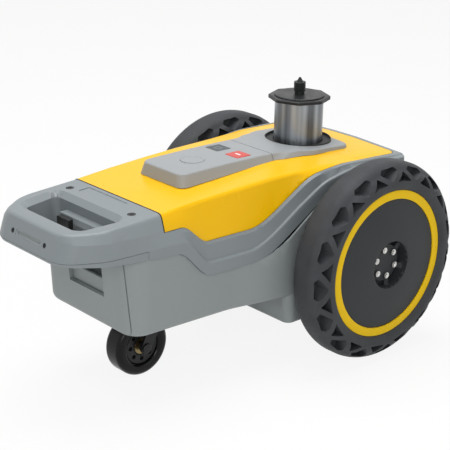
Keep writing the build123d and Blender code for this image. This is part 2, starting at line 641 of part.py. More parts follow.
def console_block(body):
    """The raised console: drafted sides on the roof, under a slightly crowned top."""
    low, high = roof_z(CONSOLE_REAR_X) - WALL, CONSOLE_TOP_Z + WALL
    spread, half = CONSOLE_SPREAD, CONSOLE_FOOT_HALF
    foot = console_outline(low, spread, half, CONSOLE_KNEE, 0, COLLAR_FOOT_HALF)
    half, knee = CONSOLE_TOP_HALF, CONSOLE_TOP_KNEE
    top = console_outline(high, -spread, half, knee, CONSOLE_WAIST_SHIFT, COLLAR_TOP_HALF)
    block = loft([foot, top], ruled=True)
    xs = stations(CONSOLE_REAR_X - WELL_R, CONSOLE_NOSE_X + WELL_R)
    block &= above(console_top, xs, 0)
    crown = block.faces().sort_by(Axis.Z)[-1]
    block = fillet(crown.edges(), CONSOLE_EDGE_R)
    return block - body


def console_panel(block):
    panel = split(block, Plane.YZ.offset(CONSOLE_SPLIT_X - CONSOLE_SPLIT_GAP), Keep.BOTTOM)
    top = console_top(KEY_X)
    room = RectangleRounded(KEY_SIZE + 2 * SLIDE_GAP, KEY_SIZE + 2 * SLIDE_GAP, KEY_R)
    panel -= extrude(Pos(KEY_X, -KEY_Y, top - KEY_DEEP) * room, amount=2 * KEY_DEEP)
    panel -= extrude(Pos(KEY_X, KEY_Y, top - DISPLAY_T) * room, amount=2 * KEY_DEEP)
    return panel - Pos(POWER_X, 0, console_top(POWER_X)) * Cylinder(POWER_R + SLIDE_GAP, 2 * KEY_DEEP)


def stop_button():
    cap = extrude(RectangleRounded(KEY_SIZE, KEY_SIZE, KEY_R), amount=KEY_TALL)
    cap = fillet(cap.faces().sort_by(Axis.Z)[-1].edges(), KEY_R / 2)
    return Pos(KEY_X, -KEY_Y, console_top(KEY_X) + KEY_PROUD - KEY_TALL) * cap


def status_display():
    plate = RectangleRounded(KEY_SIZE, KEY_SIZE, KEY_R)
    return extrude(Pos(KEY_X, KEY_Y, console_top(KEY_X) - DISPLAY_T) * plate, amount=DISPLAY_T)


def power_button():
    """A round key with a fine raised ring round a shallow dish."""
    r, lip = POWER_R, POWER_R - POWER_RING
    rise, dish = KEY_PROUD, KEY_PROUD - POWER_DISH
    low = KEY_PROUD - KEY_TALL
    rim = [(r, low), (r, rise - POWER_EDGE), (r - POWER_EDGE, rise), (lip, rise), (lip - POWER_DISH, dish)]
    return Pos(POWER_X, 0, console_top(POWER_X)) * drum([(0, low)] + rim + [(0, dish)])


def canister_collar(block):
    collar = split(block, Plane.YZ.offset(CONSOLE_SPLIT_X + CONSOLE_SPLIT_GAP), Keep.TOP)
    return collar - Pos(0, 0, ROOF_Z) * Cylinder(WELL_R, FAR)


# Can well, sleeve, can and prism spigot

def can_guide():
    bore = SLEEVE_R + SLIDE_GAP
    out = bore + GUIDE_WALL
    ring, low = WELL_R - SLIDE_GAP, POD_Z + WALL
    step = GUIDE_TOP_Z - GUIDE_RING_H
    seat = SLEEVE_R - SLEEVE_WALL - GUIDE_WALL
    return drum([(bore, GUIDE_TOP_Z), (ring, GUIDE_TOP_Z), (ring, step), (out, step), (out, low), (seat, low),
                 (seat, SLEEVE_SEAT_Z), (bore, SLEEVE_SEAT_Z)])


def can_sleeve():
    inner, low, top = SLEEVE_R - SLEEVE_WALL, SLEEVE_SEAT_Z, SLEEVE_TOP_Z
    return drum([(inner, low), (SLEEVE_R, low), (SLEEVE_R, top), (inner, top)])


def sleeve_cap():
    """An eight-sided flange with soft corners, plugged into the sleeve."""
    plate = RegularPolygon(CAP_ACROSS / 2, 8)
    plate = extrude(fillet(plate.vertices(), CAP_CORNER_R), amount=CAP_H)
    plate = chamfer(plate.faces().sort_by(Axis.Z)[-1].edges(), CAP_BEVEL)
    plug = Cylinder(SLEEVE_R - SLEEVE_WALL, CAP_PLUG_H, align=(Align.CENTER, Align.CENTER, Align.MAX))
    return Pos(0, 0, SLEEVE_TOP_Z) * (plate + plug)


def cap_disc():
    low = SLEEVE_TOP_Z + CAP_H
    top, edge = low + DISC_H, low + DISC_H - DISC_BEVEL
    return drum([(0, low), (DISC_R, low), (DISC_R, edge), (DISC_R - 2 * DISC_BEVEL, top), (0, top)])


def spigot_base():
    return SLEEVE_TOP_Z + CAP_H + DISC_H


def prism_spigot():
    """A survey stud: necked foot, plain barrel and a centring cone on top."""
    foot = spigot_base()
    neck, top = foot + SPIGOT_NECK_H, foot + SPIGOT_H
    edge = (SPIGOT_R - SPIGOT_NECK_R) / 2
    return drum([(0, foot), (SPIGOT_NECK_R, foot), (SPIGOT_NECK_R, neck - edge), (SPIGOT_R, neck),
                 (SPIGOT_R, top - edge), (SPIGOT_R - edge, top), (SPIGOT_TIP_R, top),
                 (SPIGOT_TIP_R / 4, top + SPIGOT_TIP_H), (0, top + SPIGOT_TIP_H)])


def can_low_z():
    return SLEEVE_TOP_Z - CAP_PLUG_H - CAN_L


def marking_can():
    """An upturned paint can, base up under the cap and valve down."""
    low, top = can_low_z(), SLEEVE_TOP_Z - CAP_PLUG_H
    tip, shoulder = low - CAN_STEM_L, low + CAN_SHOULDER
    stem = [(0, tip), (CAN_STEM_R, tip), (CAN_STEM_R, low), (CAN_R / 2, low)]
    wall = [(CAN_R - CAN_EDGE / 2, shoulder), (CAN_R, shoulder + CAN_EDGE), (CAN_R, top - CAN_EDGE)]
    return drum(stem + wall + [(CAN_R - CAN_EDGE, top), (0, top)])


def can_collar():
    """The ring inside the sleeve that the can's shoulder stands on."""
    inner, foot = SLEEVE_R - SLEEVE_WALL, can_low_z() - CAN_RING_H
    edge, rise = CAN_R - CAN_EDGE / 2, can_low_z() + CAN_SHOULDER
    slope = CAN_SHOULDER / (edge - CAN_R / 2)
    rim = can_low_z() + slope * (CAN_RING_BORE_R - CAN_R / 2)
    return drum([(CAN_RING_BORE_R, foot), (inner, foot), (inner, rise), (edge, rise), (CAN_RING_BORE_R, rim)])


def spray_head():
    low = POD_Z + WALL
    block = Pos(0, 0, low) * Cylinder(HEAD_R, HEAD_H, align=(Align.CENTER, Align.CENTER, Align.MIN))
    return block - Pos(0, 0, low + HEAD_H) * Cylinder(CAN_STEM_R + HEAD_GAP, HEAD_H)


def spray_nozzle():
    top, tip = POD_Z + WALL, POD_Z + WALL - NOZZLE_L
    return drum([(NOZZLE_BORE_R, top), (NOZZLE_R, top), (NOZZLE_R, top - NOZZLE_L / 2), (NOZZLE_R / 2, tip),
                 (NOZZLE_BORE_R, tip)])


# Drive wheels, each modelled about its own axis with +Z outward

def wheel_frame(side):
    """Where a wheel stands: side 1 is left, -1 is right."""
    return Pos(0, side * TRACK / 2, WHEEL_R) * Rot(-90 * side, 0, 0)


def tyre_half(side):
    """One side of the tyre's section, from the crown in to the bead; side is 1 outside, -1 inside."""
    half = TYRE_W / 2
    crown, shoulder = (WHEEL_R, 0, side * CROWN_HALF), (SHOULDER_R, 0, side * SHOULDER_HALF)
    wall, lip = (SIDEWALL_R, 0, side * half), (LIP_R, 0, side * (half - LIP_SET))
    bead = (BEAD_R, 0, side * (half - BEAD_SET))
    round_off = ThreePointArc(crown, bowed(crown, shoulder, CROWN_BOW), shoulder)
    swell = ThreePointArc(shoulder, bowed(shoulder, wall, SHOULDER_BOW), wall)
    return [round_off, swell, Line(wall, lip), Line(lip, bead)]


def bowed(a, b, out):
    """The middle of two section points, pushed out from the axis and from the wheel's centre plane."""
    z = (a[2] + b[2]) / 2
    return ((a[0] + b[0]) / 2 + out, 0, z + math.copysign(out, z))


def tyre_pockets():
    """One pair of truss pockets: a deep triangle, and a gable whose floor runs out at the tread."""
    half = TYRE_W / 2
    tri = make_face(Polyline((TRI_BASE_R, -TRI_HALF), (TRI_TIP_R, 0), (TRI_BASE_R, TRI_HALF), close=True))
    tri = fillet(tri.vertices(), POCKET_ROUND)
    gable = [(HOUSE_TIP_R, 0), (HOUSE_EAVE_R, HOUSE_HALF), (HOUSE_TOP_R, HOUSE_TOP_HALF)]
    gable = make_face(Polyline(*gable, *[(r, -y) for r, y in reversed(gable[1:])], close=True))
    gable = fillet(corners(gable, HOUSE_TIP_R) + corners(gable, HOUSE_EAVE_R), POCKET_ROUND)
    tri = Pos(0, 0, half - TRI_DEEP) * extrude(tri, amount=TRI_DEEP + LAP)
    slope = (HOUSE_DEEP - HOUSE_TIP_DEEP, 0, WHEEL_R - HOUSE_TIP_R)
    floor = Plane((HOUSE_TIP_R, 0, half - HOUSE_TIP_DEEP), x_dir=(0, 1, 0), z_dir=slope)
    gable = split(extrude(gable, amount=half + LAP), floor, Keep.TOP)
    return [tri, Rot(0, 0, 180 / POCKETS) * gable]


def tyre():
    """A rounded tread over flat sidewalls and sunk beads, with truss pockets moulded into both faces."""
    tread = Line((WHEEL_R, 0, CROWN_HALF), (WHEEL_R, 0, -CROWN_HALF))
    seat = Line((BEAD_R, 0, TYRE_W / 2 - BEAD_SET), (BEAD_R, 0, BEAD_SET - TYRE_W / 2))
    body = revolve(make_face(Curve() + tyre_half(1) + tyre_half(-1) + [tread, seat]), Axis.Z)
    cuts = []
    for face in (Rot(0, 0, 0), Rot(180, 0, 0)):
        for i in range(POCKETS):
            cuts += [face * Rot(0, 0, POCKET_TURN + i * 360 / POCKETS) * pocket for pocket in tyre_pockets()]
    return body - cuts


def screw_spots():
    return PolarLocations(SCREW_PCD / 2, WHEEL_SCREWS, start_angle=SCREW_TURN)


def wheel_disc():
    """The moulded wheel: barrel, domed web, ring seat and a hub boss in a moat, with a rib at each screw."""
    inner, back, seat = BEAD_R - RIM_T, WEB_OUT - WEB_T, WEB_OUT - RING_SET
    floor, boss = WEB_OUT - HUB_MOAT_DEEP, WEB_OUT - HUB_BOSS_SET
    rim, brow = (RING_IN_R, 0, WEB_OUT), (HUB_MOAT_R, 0, WEB_OUT + DOME_H)
    dome = ThreePointArc(rim, bowed(rim, brow, DOME_BOW), brow)
    moat = [brow, (HUB_MOAT_R - HUB_DRAFT, 0, floor), (HUB_BOSS_R + HUB_DRAFT, 0, floor)]
    hub = [(HUB_BOSS_R, 0, boss), (0, 0, boss), (0, 0, back)]
    barrel = [(inner, 0, back), (inner, 0, -RIM_BACK), (BEAD_R, 0, -RIM_BACK)]
    ring_seat = [(BEAD_R, 0, seat), (RING_IN_R, 0, seat), rim]
    outline = Curve() + [dome, Polyline(*moat, *hub, *barrel, *ring_seat)]
    disc = revolve(make_face(outline), Axis.Z)
    reach = HUB_MOAT_R - SCREW_PCD / 2
    rib = Box(reach, HUB_RIB_T, HUB_MOAT_DEEP - HUB_RIB_SET, align=(Align.MIN, Align.CENTER, Align.MIN))
    rib -= Pos(0, 0, boss - floor) * Box(2 * (HUB_BOSS_R - SCREW_PCD / 2), 2 * HUB_RIB_T, 2 * HUB_RIB_SET,
                                         align=(Align.CENTER, Align.CENTER, Align.MIN))
    for spot in screw_spots():
        disc += spot * Pos(0, 0, floor) * rib
    for spot in screw_spots():
        disc -= spot * Pos(0, 0, back) * Cylinder(WHEEL_SCREW_R, 4 * WEB_T)
    return disc


def wheel_ring():
    low = WEB_OUT - RING_SET
    soft = RING_T / 4
    return drum([(RING_IN_R + SLIDE_GAP, low), (RING_OUT_R, low), (RING_OUT_R, low + RING_T - soft),
                 (RING_OUT_R - soft, low + RING_T), (RING_IN_R + SLIDE_GAP + soft, low + RING_T),
                 (RING_IN_R + SLIDE_GAP, low + RING_T - soft)])


def hub_flange():
    top = WEB_OUT - WEB_T
    neck, end = top - FLANGE_T, top - HUB_L
    flange = [(SHAFT_R, top), (FLANGE_R, top), (FLANGE_R, neck), (HUB_R, neck)]
    hub = drum(flange + [(HUB_R, end), (SHAFT_R, end)])
    for spot in screw_spots():
        hub -= spot * Pos(0, 0, top) * Cylinder(WHEEL_SCREW_R, 4 * FLANGE_T)
    return hub


def wheel_screws():
    """Socket cap screws through the boss into the hub flange."""
    face, low = WEB_OUT - HUB_BOSS_SET, WEB_OUT - WEB_T - FLANGE_T
    screw = Cylinder(WHEEL_SCREW_R, face - low, align=(Align.CENTER, Align.CENTER, Align.MAX))
    screw += Cylinder(WHEEL_SCREW_HEAD_R, WHEEL_SCREW_HEAD_H, align=(Align.CENTER, Align.CENTER, Align.MIN))
    socket = extrude(RegularPolygon(WHEEL_SCREW_R, 6), amount=-WHEEL_SCREW_HEAD_H / 2)
    screw -= Pos(0, 0, WHEEL_SCREW_HEAD_H) * socket
    return Compound(children=[spot * Pos(0, 0, face) * screw for spot in screw_spots()])


def axle_shaft():
    out = WEB_OUT - WEB_T
    length = TRACK / 2 + out - SHAFT_IN
    return Pos(0, 0, out) * Cylinder(SHAFT_R, length, align=(Align.CENTER, Align.CENTER, Align.MAX))


def axle_bearing():
    z = POD_HALF - WALL / 2 - TRACK / 2
    return Pos(0, 0, z) * (Cylinder(BEARING_R, BEARING_T) - Cylinder(SHAFT_R + RUN_GAP, BEARING_T))


def gearmotor():
    face = GEARBOX_FACE - TRACK / 2
    case = Box(GEARBOX, GEARBOX, GEARBOX_T, align=(Align.CENTER, Align.CENTER, Align.MAX))
    case = fillet(case.edges().filter_by(Axis.Z), BATTERY_R)
    case -= Cylinder(SHAFT_R + RUN_GAP, 2 * (GEARBOX_FACE - SHAFT_IN + REST_GAP))
    motor = Cylinder(MOTOR_R, MOTOR_L, align=(Align.CENTER, Align.CENTER, Align.MAX))
    return Pos(0, 0, face) * (case + Pos(0, 0, -GEARBOX_T) * motor)


def motor_bracket(side):
    """A bent saddle under the gearbox, standing on the pod floor."""
    low, high, t = POD_Z + WALL, WHEEL_R - GEARBOX / 2, BRACKET_T
    out, foot = GEARBOX / 2, GEARBOX / 2 + BRACKET_FOOT
    hat = [(0, high - t), (out, high - t), (out, low), (foot, low), (foot, low + t), (out + t, low + t)]
    hat += [(out + t, high), (0, high)]
    half = prism_y(hat, GEARBOX_T / 2)
    return Pos(0, side * (GEARBOX_FACE - GEARBOX_T / 2), 0) * (half + mirror(half, Plane.YZ))


# Caster

def swivel_x():
    return CASTER_X + CASTER_TRAIL


def caster_plate():
    plate = RectangleRounded(CASTER_PLATE_L, CASTER_PLATE_W, CASTER_PLATE_R)
    plate = Pos(swivel_x(), 0, TUB_Z) * extrude(plate, amount=-CASTER_PLATE_T)
    return plate - at_caster_screws(Cylinder(CASTER_SHANK_R, 4 * CASTER_PLATE_T))


def at_caster_screws(shape):
    """Four copies at the plate's corners, at the level of the tub's underside."""
    edge = 2 * CASTER_SCREW_EDGE
    spots = GridLocations(CASTER_PLATE_L - edge, CASTER_PLATE_W - edge, 2, 2)
    return Compound(children=[Pos(swivel_x(), 0, TUB_Z) * spot * shape for spot in spots])


def caster_screws():
    head = Cylinder(CASTER_SCREW_R, CASTER_SCREW_H, align=(Align.CENTER, Align.CENTER, Align.MAX))
    shank = Cylinder(CASTER_SHANK_R, CASTER_PLATE_T + WALL, align=(Align.CENTER, Align.CENTER, Align.MIN))
    return at_caster_screws(Pos(0, 0, -CASTER_PLATE_T) * (head + shank))


def swivel_housing():
    low = swivel_low()
    top = TUB_Z - CASTER_PLATE_T
    bore = KINGPIN_R + RUN_GAP
    edge = SWIVEL_EDGE
    ring = drum([(bore, low), (SWIVEL_R - edge, low), (SWIVEL_R, low + edge), (SWIVEL_R, top), (bore, top)])
    return Pos(swivel_x(), 0, 0) * ring


def swivel_low():
    return TUB_Z - CASTER_PLATE_T - SWIVEL_H


def caster_fork():
    """A crown on a kingpin, with two trailing legs down to the wheel's axle."""
    top, x = swivel_low() - REST_GAP, swivel_x()
    reach = FORK_BOSS_R + FORK_CROWN_T
    crown = Pos(x, 0, top) * Box(2 * reach, FORK_GAP + 2 * FORK_T, FORK_CROWN_T,
                                 align=(Align.CENTER, Align.CENTER, Align.MAX))
    crown += Pos(x, 0, top) * Cylinder(SWIVEL_R - SWIVEL_EDGE, FORK_CROWN_T,
                                       align=(Align.CENTER, Align.CENTER, Align.MAX))
    kingpin = TUB_Z - CASTER_PLATE_T - REST_GAP - top
    crown += Pos(x, 0, top) * Cylinder(KINGPIN_R, kingpin, align=(Align.CENTER, Align.CENTER, Align.MIN))
    boss = Pos(CASTER_X, CASTER_R) * Circle(FORK_BOSS_R)
    leg = Plane.XZ * make_hull(boss.edges() + Polyline((x - reach, top), (x + reach, top)).edges())
    for side in (1, -1):
        crown += Pos(0, side * FORK_GAP / 2, 0) * extrude(leg, amount=FORK_T, dir=(0, side, 0))
    return crown - on_caster(Cylinder(CASTER_AXLE_R, 3 * FORK_GAP))


def on_caster(shape):
    return Pos(CASTER_X, 0, CASTER_R) * Rot(90, 0, 0) * shape


def caster_axle():
    """A bolt through both legs, with a low round head, a nut and a spacer beside each bearing."""
    half = FORK_GAP / 2 + FORK_T
    gap = (FORK_GAP - CASTER_HUB_W) / 2 - REST_GAP
    bolt = Cylinder(CASTER_AXLE_R, 2 * half)
    cap = Cylinder(CASTER_CAP_R, CASTER_CAP_H, align=(Align.CENTER, Align.CENTER, Align.MIN))
    cap = fillet(cap.edges().group_by(Axis.Z)[-1], CASTER_CAP_H / 2)
    spacer = Cylinder(CASTER_AXLE_R + SPACER_T, gap, align=(Align.CENTER, Align.CENTER, Align.MAX))
    for face in (Rot(0, 0, 0), Rot(180, 0, 0)):
        bolt += face * (Pos(0, 0, half) * cap + Pos(0, 0, FORK_GAP / 2) * spacer)
    return on_caster(bolt)


def caster_tyre():
    half, edge, flat = CASTER_W / 2, CASTER_SHOULDER, CASTER_W / 4
    arcs = []
    for side in (1, -1):
        crown, shoulder = (CASTER_R, 0, side * flat), (edge, 0, side * half)
        arcs.append(ThreePointArc(crown, bowed(crown, shoulder, CASTER_BOW / 2), shoulder))
    tread = Line((CASTER_R, 0, flat), (CASTER_R, 0, -flat))
    sides = Polyline((edge, 0, half), (CASTER_HUB_R, 0, half), (CASTER_HUB_R, 0, -half), (edge, 0, -half))
    return on_caster(revolve(make_face(Curve() + arcs + [tread, sides]), Axis.Z))


def caster_hub():
    hub = Cylinder(CASTER_HUB_R, CASTER_HUB_W)
    for side in (1, -1):
        hub -= Pos(0, 0, side * caster_bearing_out()) * Cylinder(CASTER_BEARING_R, CASTER_BEARING_T)
    hub -= Cylinder(CASTER_AXLE_R + SPACER_T, CASTER_HUB_W)
    for spot in PolarLocations(CASTER_HOLE_PITCH_R, CASTER_HOLES):
        hub -= spot * Cylinder(CASTER_HOLE_R, CASTER_HUB_W)
    return on_caster(hub)


def caster_bearings():
    race = Cylinder(CASTER_BEARING_R, CASTER_BEARING_T) - Cylinder(CASTER_AXLE_R + RUN_GAP, CASTER_BEARING_T)
    return on_caster(Compound(children=[Pos(0, 0, side * caster_bearing_out()) * race for side in (1, -1)]))


def caster_bearing_out():
    return (CASTER_HUB_W - CASTER_BEARING_T) / 2


# Handle fittings and the board

def at_top_screws(shape):
    return pair(top_plane() * Pos(TOP_SCREW_X - SEAM_X, TOP_SCREW_Y, 0) * shape)


def top_screw(gap):
    """A sunk screw, or with a gap round its head the hole for it."""
    head = Cylinder(SCREW_HEAD_R + gap, SCREW_HEAD_H, align=(Align.CENTER, Align.CENTER, Align.MAX))
    shank = Cylinder(SCREW_R, SCREW_L, align=(Align.CENTER, Align.CENTER, Align.MAX))
    return head + Pos(0, 0, -SCREW_HEAD_H) * shank


def handle_screws():
    socket = extrude(RegularPolygon(SCREW_HEX, 6), amount=-SCREW_HEAD_H / 2)
    return at_top_screws(top_screw(0) - socket)


def end_plane():
    """The plane of the upright band's rear face, a little above the ridge and facing out."""
    low = ridge_plane().from_local_coords((handle_end(), 0, 0))
    high = crease_plane().from_local_coords((handle_end() + HANDLE_CREASE_BACK, 0, 0))
    up = (high - low).normalized()
    return Plane(low + up * PLATE_UP, x_dir=(0, -1, 0), z_dir=up.cross(Vector(0, 1, 0)))


def handle_end_plate():
    """A small slotted plate let into the rear of the handle."""
    plate = extrude(RectangleRounded(PLATE_W, PLATE_H, PLATE_R), amount=-PLATE_T)
    slot = extrude(RectangleRounded(PLATE_W - 2 * PLATE_EDGE, PLATE_H / 2, PLATE_R), amount=-PLATE_T / 2)
    return end_plane() * Pos(0, 0, -PLATE_SET) * (plate - slot)


def end_plate_cut():
    return end_plane() * extrude(RectangleRounded(PLATE_W, PLATE_H, PLATE_R), amount=-PLATE_T - PLATE_SET)


def at_end_screws(shape):
    spots = [end_plane() * Pos(side * PLATE_SCREW_Y, 0, -PLATE_SET) for side in (1, -1)]
    return Compound(children=[spot * shape for spot in spots])


def end_screw_body():
    return Cylinder(PLATE_SCREW_R, SCREW_L, align=(Align.CENTER, Align.CENTER, Align.MAX))


def end_plate_screws():
    socket = extrude(RegularPolygon(PLATE_SCREW_R / 2, 6), amount=-SCREW_HEAD_H / 2)
    return at_end_screws(end_screw_body() - socket)


def end_screw_cut():
    mouth = Cylinder(PLATE_SCREW_R, PLATE_T, align=(Align.CENTER, Align.CENTER, Align.MIN))
    return at_end_screws(end_screw_body() + mouth)


def latch_keeper():
    block = Box(KEEPER_T, KEEPER_W, KEEPER_H, align=(Align.MAX, Align.CENTER, Align.CENTER))
    block = fillet(block.edges().filter_by(Axis.X), KEEPER_R)
    z = GRIP_LEDGE_Z - KEEPER_SET - KEEPER_H / 2
    return Pos(GRIP_FRONT_X - GRIP_LEDGE, KEEPER_Y, z) * block


def board_spots():
    return GridLocations(BOARD_L - 2 * STANDOFF_EDGE, BOARD_W - 2 * STANDOFF_EDGE, 2, 2)


def control_board():
    z = TUB_Z + WALL + STANDOFF_H
    board = Box(BOARD_L, BOARD_W, BOARD_T, align=(Align.CENTER, Align.CENTER, Align.MIN))
    chip = Box(CHIP_L, CHIP_W, CHIP_H, align=(Align.CENTER, Align.CENTER, Align.MIN))
    return Pos(BOARD_X, 0, z) * (board + Pos(0, 0, BOARD_T) * chip)


def board_standoffs():
    post = Cylinder(STANDOFF_R, STANDOFF_H, align=(Align.CENTER, Align.CENTER, Align.MIN))
    return Compound(children=[Pos(BOARD_X, 0, TUB_Z + WALL) * spot * post for spot in board_spots()])


def body_solid():
    """The whole upper body in front of the handle, with its two nose corners rounded."""
    rear = SEAM_X - NOSE_LAP
    return outer_loaf() & between(flank_y, rear, NOSE_REACH, -NOSE_LAP, TUB_Z, FAR, NOSE_CORNER_R)


def build():
    """Every piece under its node name."""
    body = body_solid()
    form, inside = tub_form(0), tub_form(WALL)
    tub = form - inside
    block = console_block(body)
    nodes = {
        "upper_shell": upper_shell(body),
        "top_cover": top_cover(body),
        "lower_tub": lower_tub(tub),
        "drawer_front": drawer_front(tub),
        "pull_pocket": pull_pocket(inside),
        "console_panel": console_panel(block),
        "canister_collar": canister_collar(block),
    }
    fixed = (latch_paddle, paddle_pin, drawer_tray, battery_pack, drawer_rails, stop_button, status_display,
             power_button, can_guide, can_sleeve, sleeve_cap, cap_disc, prism_spigot, marking_can, can_collar,
             spray_head, spray_nozzle, caster_plate, caster_screws, swivel_housing, caster_fork, caster_axle,
             caster_tyre, caster_hub, caster_bearings, handle_screws, handle_end_plate, end_plate_screws,
             latch_keeper, control_board, board_standoffs)
    for make in fixed:
        nodes[make.__name__] = make()
    wheel = (tyre, wheel_disc, wheel_ring, hub_flange, wheel_screws, axle_shaft, axle_bearing, gearmotor)
    for make in wheel:
        piece = make()
        for name, side in (("left", 1), ("right", -1)):
            nodes[f"{name}_{make.__name__}"] = wheel_frame(side) * piece
    for name, side in (("left", 1), ("right", -1)):
        nodes[f"{name}_motor_bracket"] = motor_bracket(side)
    return nodes


def main():
    os.makedirs("parts", exist_ok=True)
    for name, shape in build().items():
        export_step(Pos(SHIFT_X, 0, 0) * shape, f"parts/{name}.step")


if __name__ == "__main__":
    main()
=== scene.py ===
"""Layout marking robot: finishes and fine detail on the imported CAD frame."""

import json
import math

import bmesh
import bpy
from mathutils import Matrix, Vector

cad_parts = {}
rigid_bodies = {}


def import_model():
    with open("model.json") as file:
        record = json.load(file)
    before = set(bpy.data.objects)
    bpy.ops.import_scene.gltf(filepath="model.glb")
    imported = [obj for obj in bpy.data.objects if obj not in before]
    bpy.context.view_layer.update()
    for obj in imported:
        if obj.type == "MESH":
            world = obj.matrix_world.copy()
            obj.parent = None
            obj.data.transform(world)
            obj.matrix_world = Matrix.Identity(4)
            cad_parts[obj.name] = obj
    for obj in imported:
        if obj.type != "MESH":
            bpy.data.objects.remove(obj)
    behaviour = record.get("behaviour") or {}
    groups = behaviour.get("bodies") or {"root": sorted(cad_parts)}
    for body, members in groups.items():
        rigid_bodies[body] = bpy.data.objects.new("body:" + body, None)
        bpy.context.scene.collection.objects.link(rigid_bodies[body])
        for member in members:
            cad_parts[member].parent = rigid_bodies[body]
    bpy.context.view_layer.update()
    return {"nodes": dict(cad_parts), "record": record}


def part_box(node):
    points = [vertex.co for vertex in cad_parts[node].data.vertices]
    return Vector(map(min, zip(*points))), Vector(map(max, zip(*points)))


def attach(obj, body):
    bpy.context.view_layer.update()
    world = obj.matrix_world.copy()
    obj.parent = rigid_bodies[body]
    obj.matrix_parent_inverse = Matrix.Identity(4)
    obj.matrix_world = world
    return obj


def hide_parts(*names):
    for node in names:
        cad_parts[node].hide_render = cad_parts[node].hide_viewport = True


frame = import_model()

bl_info = {
    "name": "Layout Marking Robot",
    "version": (1, 0, 0),
    "blender": (4, 5, 0),
    "location": "View3D > Sidebar > Robot",
    "description": "Dresses a floor-marking robot with moulded, rubber and steel finishes",
    "category": "Object",
}

MM = 0.001
SIDES = ("left_", "right_")
WHITE = (1.0, 1.0, 1.0, 1.0)

# Corners of a CAD mesh, and the two ends of a sweep, become one where they lie closer than this
WELD, MERGE = 0.002 * MM, 0.01 * MM

# Angles between faces, in degrees: shading runs on below a soft one, edges are rounded above a round one
SOFT, ROUND = 32.0, 40.0
TURNED_SOFT = 35.0
TYRE_SOFT, TYRE_ROUND = 34.0, 42.0
# Facets that differ by less than this become one: on the body mouldings, and where only edges are rounded
BODY_MELT, EDGE_MELT = 2.5, 1.0
# The cover's outer skin ends where its faces turn by more than this
SKIN_TURN = 38.0

# Facets across a rounded edge, a tyre pocket's corner and a mark's corner, and round the sleeve's liner
EDGE_STEPS, POCKET_STEPS, MARK_STEPS, LINER_STEPS = 2, 3, 4, 96
# Points added to each quarter of the round section of the black bead that paints the shadow in the cover's
# seam
BEAD_STEPS = 2
# Corner of a printed mark as a share of its shorter side
MARK_CORNER = 0.2

# Tyre section in millimetres, from crown to bead: radius, and distance from the wheel's centre plane
CROWN, SHOULDER, SIDEWALL = (132.98, 7.0), (124.0, 21.0), (106.0, 30.0)
LIP, BEAD = (102.6, 29.0), (98.8, 24.6)
CROWN_BOW, SHOULDER_BOW, BOW_STEPS = 1.6, 2.2, 6
# How far the cutter of a tyre pocket stands out of the tyre's face
CUT_OVER = 1.0 * MM

# Prism spigot: neck and tip radius as shares of the barrel's, and the straight share of the neck's height
NECK_SHARE, TIP_SHARE, NECK_STRAIGHT = 0.83, 0.53, 0.9
# One of its rings from the foot up: rise in pitches, and cut into the barrel in groove depths
RING_SHAPE = ((0.0, 0.2), (0.2, 0.0), (0.5, 0.0), (0.72, 1.0), (0.9, 1.0))
# In pitches: the room kept over the last ring, and the rise from its top to the barrel's plain end
RING_ROOM, LAND_RISE = 0.2, 0.1
# Its tip: share of the tip's radius, and height in millimetres over the barrel, then against the very top
TIP_FOOT = ((1.0, 0.05), (0.94, 0.9))
TIP_CROWN = ((0.3, -0.25), (0.12, 0.0))

# Most of a noise pattern's values lie between these two
NOISE_LOW, NOISE_HIGH = 0.3, 0.7
# A colour mix has its two colours at these inputs and its result at this output
MIX_A, MIX_B, MIXED = 6, 7, 2
# Stretch of a metal's streaks: none, along the axle, and up the sleeve
NO_GRAIN, AXLE_GRAIN, UPRIGHT_GRAIN = (1.0, 1.0, 1.0), (1.0, 0.1, 1.0), (1.0, 1.0, 0.01)

# Softboxes: name, place and side in metres, power in watts
LAMPS = (("key_softbox", (-1.2, -1.2, 1.0), 0.8, 9.5),
         ("top_softbox", (0.1, 0.3, 2.3), 1.6, 42.0),
         ("side_softbox", (0.6, -2.1, 1.0), 0.9, 3.0))
LAMP_AIM = Vector((0, 0, 0.15))
# Side of the floor in metres, and width of the camera's sensor in millimetres
FLOOR_SIDE, SENSOR = 30.0, 36.0


def linear(code):
    """An sRGB hex value as linear red, green and blue."""
    parts = [int(code[i:i + 2], 16) / 255 for i in (1, 3, 5)]
    return [c / 12.92 if c <= 0.04045 else ((c + 0.055) / 1.055) ** 2.4 for c in parts]


def colour(name, code, words):
    """A colour property whose default is an sRGB hex value."""
    return bpy.props.FloatVectorProperty(name=name, description=words, subtype="COLOR", size=3, min=0, max=1,
                                         default=linear(code))


def length(name, value, words):
    """A property for a size in metres."""
    return bpy.props.FloatProperty(name=name, description=words, subtype="DISTANCE", unit="LENGTH", min=0,
                                   default=value)


def position(name, value, words):
    """A property for a place in metres."""
    return bpy.props.FloatVectorProperty(name=name, description=words, subtype="TRANSLATION", unit="LENGTH",
                                         default=value)


def degrees(name, value, words):
    """A property for an angle whose default is given in degrees."""
    return bpy.props.FloatProperty(name=name, description=words, subtype="ANGLE", unit="ROTATION",
                                   default=math.radians(value))


